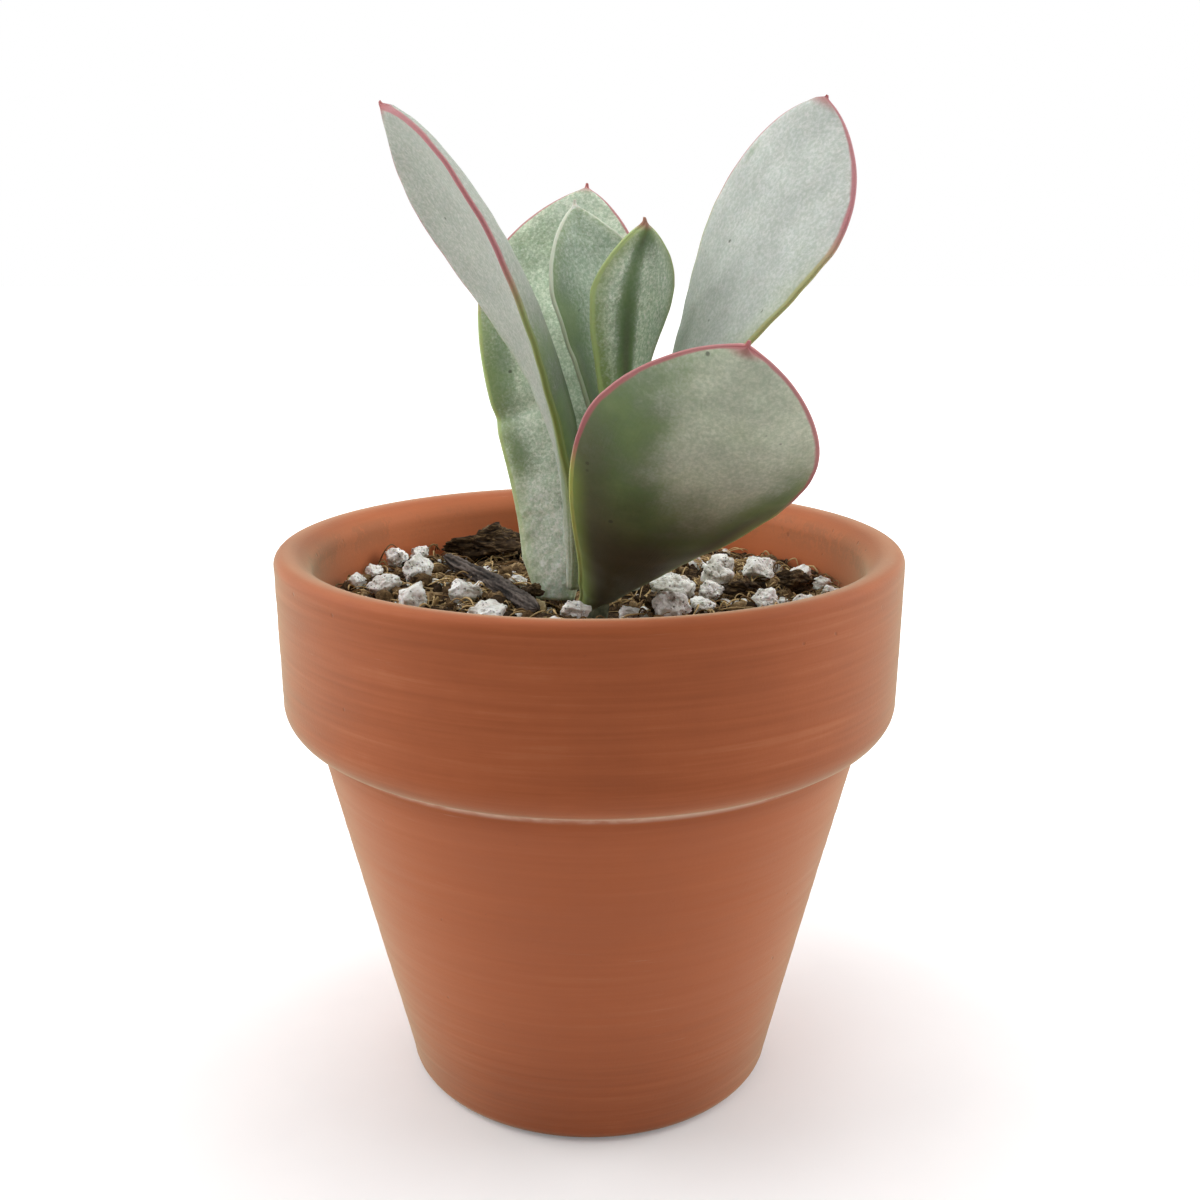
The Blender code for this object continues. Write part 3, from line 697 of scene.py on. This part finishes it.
def build_leaf(name, material):
    """A blade of closed loops, with rounded margins and a small pointed end."""
    leaf = LEAVES[name]
    look = LOOKS[name]
    seed = len(name) * 1.7
    section = leaf_section()
    verts = []
    fields = {"along": [], "across": [], "edge": [], "wear_and_painted_shade": []}
    tip_along, tip_face, _ = leaf_frame(leaf, 1.0)
    for row in range(LEAF_ROWS + TIP_ROWS + 1):
        t = min(1.0, row / LEAF_ROWS)
        beyond = max(0, row - LEAF_ROWS) / TIP_ROWS
        spine = leaf_spine(leaf, t) + tip_along * look["tip"] * MM * beyond
        spine += tip_face * 0.35 * look["tip"] * MM * beyond * beyond
        _, face, across = leaf_frame(leaf, t)
        margin = leaf_thickness(leaf, t, 1.0) / 2 * (1.0 - 0.6 * beyond)
        width = max(leaf_half_width(leaf, t) * (1.0 - 0.75 * beyond) - margin, 0.08 * MM)
        for u, side, turn in section:
            skewed = u * (1.0 + leaf["skew"] * (1 if u > 0 else -1))
            ripple = BROAD_RIPPLE * noise.noise(Vector((t * 9.0, seed, u * 0.8)))
            ripple *= smooth(0.2, 1.0, abs(u))
            ripple += FINE_RIPPLE * noise.noise(Vector((t * 24.0, seed, u * 2.0)))
            ripple *= 1.0 - smooth(0.9, 1.0, t)
            if name == "leaf_back":
                off_fold = (t - FOLD_PLACE - FOLD_SLANT * (u + 1.0)) / FOLD_WIDTH
                fold = math.exp(-off_fold ** 2) * smooth(0.5, -1.0, u)
                ripple -= FOLD_DEPTH * fold
                skewed *= 1.0 - 0.025 * fold
                wrinkle = noise.noise(Vector((t * 60.0, u * 4.0, 5.0)))
                ripple += WRINKLE_DEPTH * wrinkle * smooth(0.55, 0.3, t)
            place = spine + across * width * skewed + face * (leaf["cup"] * u * u * width + ripple)
            half = leaf_thickness(leaf, t, u) / 2 * (1.0 - 0.6 * beyond)
            half = min(half, margin + 0.8 * width)
            if side:
                place += face * side * half
            else:
                angle = math.radians(turn)
                outward = across * (1.0 if u > 0 else -1.0)
                place += outward * margin * abs(math.cos(angle)) + face * margin * math.sin(angle)
            verts.append(place)
            fields["along"].append(t)
            fields["across"].append(u)
            fields["edge"].append((1.0 - abs(u)) * width / MM if side else 0.0)
            fields["wear_and_painted_shade"].append(wear_and_painted_shade_at(look, t, u))
    faces = loops_to_faces(LEAF_ROWS + TIP_ROWS + 1, len(section))
    return add_piece(name + "_blade", verts, faces, material, [name], fields)


def leaf_material(name):
    """Green flesh under a pale speckled bloom, with a coloured margin."""
    look = LOOKS[name]
    graph = Graph(name)
    place = graph.place()
    along = graph.field("along")
    edge = graph.field("edge")
    wear_and_painted_shade = graph.field("wear_and_painted_shade")

    # Flesh: greens, painted darker and browner where the worn patches add up most; that dark olive is
    # painted shade, the colour of a shaded blade bottom
    patches = graph.noise(place, 190.0, 4.0, 0.6)
    flesh = graph.ramp(patches, [
        (0.30, (0.050, 0.110, 0.018)), (0.50, (0.095, 0.180, 0.040)), (0.70, (0.160, 0.250, 0.075))])
    flesh = graph.mix(graph.span(wear_and_painted_shade, 0.75, 1.30, 0.0, 0.85), flesh, (0.080, 0.070, 0.032))
    wear_and_painted_shade = graph.times(wear_and_painted_shade, graph.span(patches, 0.25, 0.75, 0.70, 1.30))

    # Bloom: a silvery powder that breaks into fine speckles as it thins out, its colour set blade by
    # blade as partly painted light
    lengthwise = graph.node("CombineXYZ", {}, {0: along, 1: graph.field("across"), 2: 0.0}).outputs[0]
    streaks = graph.noise(graph.stretched(lengthwise, (3.0, 26.0, 1.0)), 1.0, 3.0)
    share = look["streaks"]
    tone = graph.plus(graph.times(patches, 1.0 - share), graph.times(streaks, share))
    powder_and_painted_light = graph.mix(graph.span(tone, 0.35, 0.66), tuple(0.90 * c for c in look["powder_and_painted_light"]),
                       tuple(1.08 * c for c in look["powder_and_painted_light"]))
    # Painted light: the bloom is painted whiter towards the foot, partly thicker bloom there and partly
    # making up for the shade on the lower blade
    foot = graph.minus(1.0, graph.span(along, 0.12, 0.60))
    powder_and_painted_light = graph.mix(graph.times(foot, look["frost_and_painted_light"]), powder_and_painted_light, (0.94, 0.99, 0.91))
    darkest = 1.0 - 0.40 * look["grain"]
    flecks = graph.span(graph.noise(place, 2300.0, 3.0, 0.7), 0.35, 0.70, darkest, 1.12)
    green = graph.plus(graph.times(flecks, 0.75), 0.25)
    fleck_colour = graph.node("CombineColor", {}, {0: flecks, 1: green, 2: flecks}).outputs[0]
    powder_and_painted_light = graph.mix(1.0, powder_and_painted_light, fleck_colour, "MULTIPLY")
    speckle = graph.noise(place, 3200.0, 2.0, 0.6)
    speckle = graph.plus(0.5, graph.times(graph.minus(speckle, 0.5), look["grain"]))
    clouds = graph.noise(place, 420.0, 4.0, 0.62)
    cover = graph.minus(look["bloom"], graph.times(wear_and_painted_shade, 0.62))
    ragged = graph.plus(graph.times(speckle, 0.55), graph.times(clouds, 0.45))
    bare = graph.span(graph.minus(ragged, cover), -0.20 - look["soft"], 0.14 + look["soft"])
    colour = graph.mix(graph.times(bare, graph.span(wear_and_painted_shade, 0.0, 1.0, 0.5, 0.95)), powder_and_painted_light, flesh)

    # Dark specks
    specks = graph.cells(place, 520.0)
    chance = graph.span(graph.noise(place, 700.0, 1.0), 0.60, 0.64)
    specks = graph.times(graph.minus(1.0, graph.span(specks, 0.08, 0.17)), chance)
    colour = graph.mix(graph.times(specks, 0.7), colour, (0.035, 0.045, 0.022))

    # Margin: a thin coloured line, pink towards the tip, with a soft green band beside it lower down,
    # partly the margin's own lime colour and partly a painted glow standing in for light through the
    # thin edge
    uneven = graph.noise(place, 260.0, 2.0)
    green_band_and_painted_glow = graph.minus(1.0, graph.span(edge, 0.0, 2.4))
    lower = graph.span(along, look["pink"] - 0.10, look["pink"] + 0.04, 1.0, 0.0)
    green_band_and_painted_glow = graph.times(graph.times(green_band_and_painted_glow, lower), look["green_band_and_painted_glow"])
    colour = graph.mix(green_band_and_painted_glow, colour, (0.245, 0.360, 0.060))
    width = graph.span(uneven, 0.3, 0.7, 0.16, 0.36)
    line = graph.minus(1.0, graph.span(graph.math("DIVIDE", edge, width), 0.2, 1.3))
    pink = graph.span(along, look["pink"] - 0.06, look["pink"] + 0.06)
    tint = graph.mix(pink, look["margin"], (0.42, 0.105, 0.125))
    line = graph.times(line, graph.span(along, 0.08, 0.34, 0.15, 0.85))
    colour = graph.mix(line, colour, tint)
    tip = graph.span(along, 0.975, 0.998)
    tip_colour = (0.62, 0.62, 0.55) if name == "leaf_inner_left" else (0.42, 0.12, 0.12)
    colour = graph.mix(graph.times(tip, 0.8), colour, tip_colour)

    wrinkles = graph.noise(graph.stretched(lengthwise, (14.0, 60.0, 1.0)), 1.0, 3.0)
    grain = graph.plus(graph.times(speckle, 0.5), graph.times(wrinkles, 0.8))
    normal = graph.bump(grain, 0.30, 0.10 * MM)
    roughness = graph.span(bare, 0.0, 1.0, 0.72, 0.5)
    return graph.finish(colour, roughness, normal, subsurface=0.08, subsurface_scale=0.003,
                        sheen=0.15, sheen_roughness=0.6)


# ---------------------------------------------------------------- mix

def soil_height(x, y):
    """Height of the mix: lumpy, with a shallow hollow where the plant sits."""
    lumps = noise.noise(Vector((x, y, 0.0)) * 140.0) + 0.5 * noise.noise(Vector((x, y, 0.4)) * 330.0)
    reach = math.hypot(x - STEM_X, y) / HOLLOW_RADIUS
    hollow = HOLLOW_DEPTH * max(0.0, 1.0 - reach * reach) ** 0.7
    return SOIL_LEVEL + SOIL_ROUGHNESS * lumps * min(1.0, reach) - hollow


def build_soil(material):
    """The body of the mix, with a crumbly top."""
    edge = inner_radius(SOIL_LEVEL) - 0.05 * MM
    floor = FLOOR_THICKNESS + 0.3 * MM
    sides = [(inner_radius(SHOULDER) - 0.1 * MM, SHOULDER - 0.6 * MM),
             (inner_radius(COLLAR_BOTTOM) - 0.1 * MM, COLLAR_BOTTOM),
             (inner_radius(floor + 2.0 * MM) - 0.3 * MM, floor + 2.0 * MM),
             (inner_radius(floor) - 2.6 * MM, floor), (1.0 * MM, floor)]
    verts = []
    for ring in range(1, SOIL_RINGS + 1):
        radius = edge * ring / SOIL_RINGS
        for k in range(SOIL_SEGMENTS):
            angle = math.tau * k / SOIL_SEGMENTS
            x = radius * math.cos(angle)
            y = radius * math.sin(angle)
            spot = Vector((x, y, 0.0))
            crumbs = CRUMB_RELIEF * fractal(spot, 520.0, 3, 3.0)
            pits = PIT_DEPTH * max(0.0, noise.noise(spot * 300.0) - 0.15)
            verts.append((x, y, soil_height(x, y) + crumbs - pits))
    for radius, z in sides:
        for k in range(SOIL_SEGMENTS):
            angle = math.tau * k / SOIL_SEGMENTS
            verts.append((radius * math.cos(angle), radius * math.sin(angle), z))
    faces = loops_to_faces(SOIL_RINGS + len(sides), SOIL_SEGMENTS)
    faces = [tuple(reversed(face)) for face in faces]
    return add_piece("mix_body", verts, faces, material, ["soil"])


def soil_material():
    graph = Graph("potting_mix")
    place = graph.place()
    fine = graph.noise(place, 1500.0, 5.0, 0.7)
    fibres = graph.noise(graph.stretched(place, (900.0, 3400.0, 900.0)), 1.0, 3.0, 0.6, 1.2)
    tone = graph.plus(graph.times(fine, 0.55), graph.times(fibres, 0.45))
    colour = graph.ramp(tone, [
        (0.34, (0.008, 0.005, 0.003)), (0.46, (0.035, 0.021, 0.011)),
        (0.56, (0.130, 0.080, 0.038)), (0.70, (0.340, 0.230, 0.120))])
    normal = graph.bump(tone, 0.9, 0.4 * MM)
    return graph.finish(colour, 0.95, normal, specular=0.15)


def lump(rng, centre, half_sizes, detail, roughness, seed):
    """Vertices and faces of one irregular lump."""
    shape = bmesh.new()
    bmesh.ops.create_icosphere(shape, subdivisions=detail, radius=1.0)
    heading = Vector((rng.uniform(-1, 1), rng.uniform(-1, 1), rng.uniform(-0.3, 0.3)))
    turn = heading.to_track_quat("X", "Z")
    verts = []
    for vertex in shape.verts:
        bump = fractal(vertex.co, 1.4, 3, seed)
        point = vertex.co * (1.0 + roughness * bump)
        verts.append(turn @ Vector([point[i] * half_sizes[i] for i in range(3)]) + centre)
    faces = [tuple(v.index for v in face.verts) for face in shape.faces]
    shape.free()
    return verts, faces


def scatter_spot(rng, clear=5.0 * MM):
    """A random place on the mix, clear of the stem."""
    edge = inner_radius(SOIL_LEVEL) - 0.7 * MM
    while True:
        radius = edge * math.sqrt(rng.random())
        angle = rng.uniform(0, math.tau)
        x = radius * math.cos(angle)
        y = radius * math.sin(angle)
        if math.hypot(x - STEM_X, y) > clear:
            return x, y


def build_crumbs(name, material, count, sizes, seed, tones):
    """Loose crumbs lying half sunk in the top of the mix."""
    rng = random.Random(seed)
    verts = []
    faces = []
    shade = []
    for i in range(count):
        x, y = scatter_spot(rng)
        size = blend(sizes, rng.random() ** 2.4) * MM
        half = (size, size * rng.uniform(0.6, 0.95), size * rng.uniform(0.5, 0.8))
        centre = Vector((x, y, soil_height(x, y) + size * rng.uniform(-0.1, 0.45)))
        more, more_faces = lump(rng, centre, half, 2, 0.55, i * 0.37)
        tone = rng.uniform(*tones)
        faces += [tuple(len(verts) + k for k in face) for face in more_faces]
        verts += more
        shade += [tone] * len(more)
    return add_piece(name, verts, faces, material, (), {"shade": shade})


def crumb_material():
    graph = Graph("peat_crumbs")
    place = graph.place()
    fine = graph.noise(place, 2100.0, 4.0, 0.7, 0.6)
    tone = graph.plus(graph.times(fine, 0.5), graph.times(graph.field("shade"), 0.5))
    colour = graph.ramp(tone, [
        (0.30, (0.010, 0.006, 0.003)), (0.45, (0.055, 0.032, 0.015)),
        (0.58, (0.180, 0.112, 0.052)), (0.72, (0.400, 0.280, 0.150))])
    normal = graph.bump(fine, 0.8, 0.25 * MM)
    return graph.finish(colour, 0.95, normal, specular=0.15)


def add_tube(verts, faces, points, radii, sides):
    """Adds a tube through points to the lists, with round caps left flat."""
    start = len(verts)
    for i, point in enumerate(points):
        ahead = points[min(i + 1, len(points) - 1)] - points[max(i - 1, 0)]
        turn = ahead.to_track_quat("Z", "Y")
        for k in range(sides):
            angle = math.tau * k / sides
            ring = Vector((math.cos(angle), math.sin(angle), 0.0)) * radii[i]
            verts.append(point + turn @ ring)
    faces += loops_to_faces(len(points), sides, start)


def build_fibres(name, material, count, lengths, thickness, seed, tones):
    """Thin bent coir fibres lying over the mix."""
    rng = random.Random(seed)
    verts = []
    faces = []
    shade = []
    for _ in range(count):
        x, y = scatter_spot(rng)
        length = rng.uniform(*lengths) * MM
        heading = rng.uniform(0, math.tau)
        curl = rng.uniform(-2.2, 2.2)
        lift = rng.uniform(0.1, 0.9) * MM
        arch = rng.uniform(-0.3, 1.1) * MM
        points = []
        for step in range(FIBRE_STEPS):
            share = step / (FIBRE_STEPS - 1)
            angle = heading + curl * share
            x += math.cos(angle) * length / FIBRE_STEPS
            y += math.sin(angle) * length / FIBRE_STEPS
            room = (inner_radius(SOIL_LEVEL) - 0.4 * MM) / max(math.hypot(x, y), 1e-6)
            if room < 1.0:
                x *= room
                y *= room
            z = soil_height(x, y) + lift + arch * math.sin(math.pi * share)
            points.append(Vector((x, y, z)))
        wide = rng.uniform(*thickness) * MM
        radii = []
        for step in range(FIBRE_STEPS):
            share = 0.1 + 0.8 * step / (FIBRE_STEPS - 1)
            radii.append(wide * (0.35 + 0.65 * math.sin(math.pi * share)))
        before = len(verts)
        add_tube(verts, faces, points, radii, 5)
        shade += [rng.uniform(*tones)] * (len(verts) - before)
    return add_piece(name, verts, faces, material, (), {"shade": shade})


ROOT_START = Vector((-28.8, 15.6, 60.2)) * MM
ROOT_END = Vector((-24.4, 18.9, 61.0)) * MM
ROOT_RISE = 3.6 * MM
ROOT_RADIUS = 0.11 * MM
ROOT_STEPS = 24


def build_root(material):
    """One thin dead root that arches beside the wall."""
    points = []
    for i in range(ROOT_STEPS + 1):
        share = i / ROOT_STEPS
        arch = math.sin(math.pi * share ** 0.7) * ROOT_RISE
        wave = 0.3 * MM * math.sin(7.0 * share)
        points.append(ROOT_START.lerp(ROOT_END, share) + Vector((wave, -wave, arch)))
    radii = [ROOT_RADIUS * (1.0 - 0.5 * i / ROOT_STEPS) for i in range(ROOT_STEPS + 1)]
    verts = []
    faces = []
    add_tube(verts, faces, points, radii, 8)
    add_piece("arching_root", verts, faces, material, (), {"shade": [0.25] * len(verts)})


def fibre_material():
    graph = Graph("coir_fibre")
    fine = graph.noise(graph.place(), 1800.0, 2.0)
    tone = graph.plus(graph.field("shade"), graph.times(fine, 0.25))
    colour = graph.ramp(tone, [
        (0.15, (0.030, 0.016, 0.007)), (0.55, (0.210, 0.120, 0.045)), (0.95, (0.620, 0.440, 0.210))])
    return graph.finish(colour, 0.8, graph.bump(fine, 0.4, 0.1 * MM), specular=0.3)


# ---------------------------------------------------------------- perlite, bark, stone

CHIP_DETAIL = 5
CHIP_CUTS = 16
PERLITE_SINK = 0.30


def chip_reach(way, cuts):
    """How far a chip cut by flat planes reaches in one direction."""
    reach = 1.0
    for normal, distance in cuts:
        facing = normal.dot(way)
        if facing > 0.1:
            reach = min(reach, distance / facing)
    return reach


def pitted_lump(name, box, material, node, seed, roughness, pits, sink=0.0):
    """A detailed angular lump in the space of a plain CAD one."""
    rng = random.Random(round(seed * 10))
    low, high = box
    centre = (low + high) / 2
    half = (high - low) / 2
    centre.z -= sink * half.z
    cuts = []
    for _ in range(CHIP_CUTS):
        normal = Vector((rng.gauss(0, 1), rng.gauss(0, 1), rng.gauss(0, 1))).normalized()
        cuts.append((normal, rng.uniform(0.50, 0.95)))
    shape = bmesh.new()
    bmesh.ops.create_icosphere(shape, subdivisions=CHIP_DETAIL, radius=1.0)
    verts = []
    for vertex in shape.verts:
        way = vertex.co
        body = fractal(way, 1.8, 4, seed)
        hole = noise.voronoi(way * 5.5 + Vector((0.0, seed, 0.0)))[0][0]
        reach = 1.28 * chip_reach(way, cuts) * (1.0 + roughness * body)
        reach -= pits * (1.0 - smooth(0.05, 0.32, hole))
        verts.append(Vector([way[i] * reach * half[i] for i in range(3)]) + centre)
    faces = [tuple(v.index for v in face.verts) for face in shape.faces]
    shape.free()
    return add_piece(name, verts, faces, material, [node])


def perlite_material():
    graph = Graph("perlite")
    place = graph.place()
    broad = graph.noise(place, 420.0, 4.0, 0.6)
    colour = graph.ramp(broad, [
        (0.30, (0.520, 0.490, 0.430)), (0.44, (0.820, 0.805, 0.760)), (0.60, (0.950, 0.945, 0.920))])
    pores = graph.cells(place, 2300.0)
    pores = graph.minus(1.0, graph.span(pores, 0.12, 0.34))
    chance = graph.span(graph.noise(place, 1300.0, 2.0), 0.44, 0.56)
    pores = graph.times(pores, chance)
    colour = graph.mix(graph.times(pores, 0.85), colour, (0.10, 0.080, 0.055))
    dirt = graph.span(graph.noise(place, 800.0, 4.0, 0.7), 0.54, 0.68)
    colour = graph.mix(graph.times(dirt, 0.6), colour, (0.20, 0.150, 0.095))
    fine = graph.noise(place, 2600.0, 4.0, 0.7)
    height = graph.minus(graph.times(fine, 0.6), pores)
    return graph.finish(colour, 0.9, graph.bump(height, 0.9, 0.3 * MM), subsurface=0.05,
                        subsurface_scale=0.001)


def bark_material():
    graph = Graph("bark")
    place = graph.place()
    layers = graph.noise(graph.stretched(place, (700.0, 700.0, 2600.0)), 1.0, 4.0, 0.65, 0.8)
    colour = graph.ramp(layers, [
        (0.35, (0.012, 0.007, 0.004)), (0.52, (0.060, 0.036, 0.018)), (0.70, (0.240, 0.160, 0.080))])
    return graph.finish(colour, 0.95, graph.bump(layers, 0.9, 0.35 * MM), specular=0.2)


def grit_material():
    graph = Graph("grit")
    fine = graph.noise(graph.place(), 900.0, 4.0, 0.6)
    colour = graph.ramp(fine, [(0.35, (0.36, 0.25, 0.11)), (0.65, (0.66, 0.55, 0.33))])
    return graph.finish(colour, 0.75, graph.bump(fine, 0.4, 0.15 * MM))


TWIG_TURNS = 48
TWIG_STEPS = 150


def build_twig(material):
    """A dead twig with grooves along it, in the space of the plain CAD one."""
    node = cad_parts["twig"]
    corners = [Vector(v.co) for v in node.data.vertices]
    left = min(corners, key=lambda v: v.x)
    right = max(corners, key=lambda v: v.x)
    length = (right - left).length
    heading = (right - left).normalized()
    # The middle of the plain twig's corners, slice by slice
    count = 6
    middles = []
    for i in range(count + 1):
        near = [v for v in corners if abs((v - left).dot(heading) / length - i / count) < 0.6 / count]
        middles.append(sum(near, Vector()) / len(near))
    radius = 0.5 * (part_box("twig")[1].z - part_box("twig")[0].z) * 0.85
    verts = []
    groove = []
    turn = heading.to_track_quat("Z", "Y")
    for step in range(TWIG_STEPS + 1):
        share = step / TWIG_STEPS
        place = min(count - 1, int(share * count))
        spine = middles[place].lerp(middles[place + 1], share * count - place)
        taper = math.sqrt(max(0.0, 1.0 - abs(2.0 * share - 1.0) ** 8)) * 0.9 + 0.1
        for k in range(TWIG_TURNS):
            angle = math.tau * k / TWIG_TURNS
            ring = Vector((math.cos(angle), math.sin(angle), 0.0))
            rough = noise.noise(Vector((ring.x * 2.6, ring.y * 2.6, share * 5.0)))
            knots = noise.noise(Vector((ring.x, ring.y, share * 9.0)) + Vector((7.0, 0.0, 0.0)))
            flakes = noise.noise(Vector((ring.x * 5.0, ring.y * 5.0, share * 34.0)))
            reach = radius * taper * (1.0 + 0.35 * rough + 0.2 * knots + 0.22 * flakes)
            verts.append(spine + turn @ (ring * reach))
            groove.append(0.5 + rough + 0.5 * flakes)
    faces = loops_to_faces(TWIG_STEPS + 1, TWIG_TURNS)
    return add_piece("grooved_twig", verts, faces, material, ["twig"], {"groove": groove})


def twig_material():
    graph = Graph("twig")
    place = graph.place()
    grooves = graph.field("groove")
    fine = graph.noise(place, 1500.0, 4.0, 0.65)
    tone = graph.plus(graph.times(grooves, 0.5), graph.times(fine, 0.5))
    colour = graph.ramp(tone, [
        (0.25, (0.012, 0.010, 0.009)), (0.50, (0.055, 0.044, 0.038)), (0.75, (0.150, 0.125, 0.110))])
    return graph.finish(colour, 0.9, graph.bump(fine, 0.7, 0.15 * MM), specular=0.25)


# ---------------------------------------------------------------- assembly

def build_loose_pieces():
    perlite = perlite_material()
    bark = bark_material()
    grit = grit_material()
    for index, node in enumerate(sorted(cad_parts), 1):
        if node.startswith("perlite_"):
            pitted_lump(node + "_grain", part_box(node), perlite, node,
                        index * 1.3, 0.20, 0.10, PERLITE_SINK)
        elif node.startswith("bark_"):
            pitted_lump(node + "_piece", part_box(node), bark, node, index * 2.1, 0.40, 0.10)
    pitted_lump("grit_pebble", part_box("grit_stone"), grit, "grit_stone", 4.4, 0.12, 0.0)
    crumbs = crumb_material()
    build_crumbs("peat_crumbs", crumbs, CRUMB_COUNT, (0.35, 1.5), 11, (0.15, 0.85))
    build_crumbs("perlite_fines", perlite, FINES_COUNT, (0.22, 1.15), 12, (0.0, 1.0))
    fibre = fibre_material()
    build_twig(twig_material())
    build_root(fibre)
    build_fibres("coir_fibres", fibre, FIBRE_COUNT, (1.0, 5.5), (0.05, 0.14), 13, (0.1, 1.1))


def stem_material():
    graph = Graph("stem")
    fine = graph.noise(graph.place(), 1200.0, 4.0, 0.6)
    colour = graph.ramp(fine, [(0.35, (0.075, 0.085, 0.045)), (0.65, (0.200, 0.210, 0.125))])
    return graph.finish(colour, 0.7, graph.bump(fine, 0.5, 0.15 * MM))


def young_leaf_material():
    graph = Graph("young_leaf")
    fine = graph.noise(graph.place(), 2400.0, 3.0, 0.6)
    colour = graph.ramp(fine, [(0.35, (0.160, 0.240, 0.110)), (0.65, (0.360, 0.420, 0.300))])
    return graph.finish(colour, 0.6, graph.bump(fine, 0.3, 0.08 * MM))


def repaint(node, material):
    """Gives a plain CAD piece that stays on show its finish."""
    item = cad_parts[node]
    item.data.materials.clear()
    item.data.materials.append(material)


def main():
    repaint("stem", stem_material())
    repaint("growing_tip", young_leaf_material())
    add_studio()
    build_pot(terracotta_material())
    for name in LEAVES:
        build_leaf(name, leaf_material(name))
    build_soil(soil_material())
    build_loose_pieces()


main()
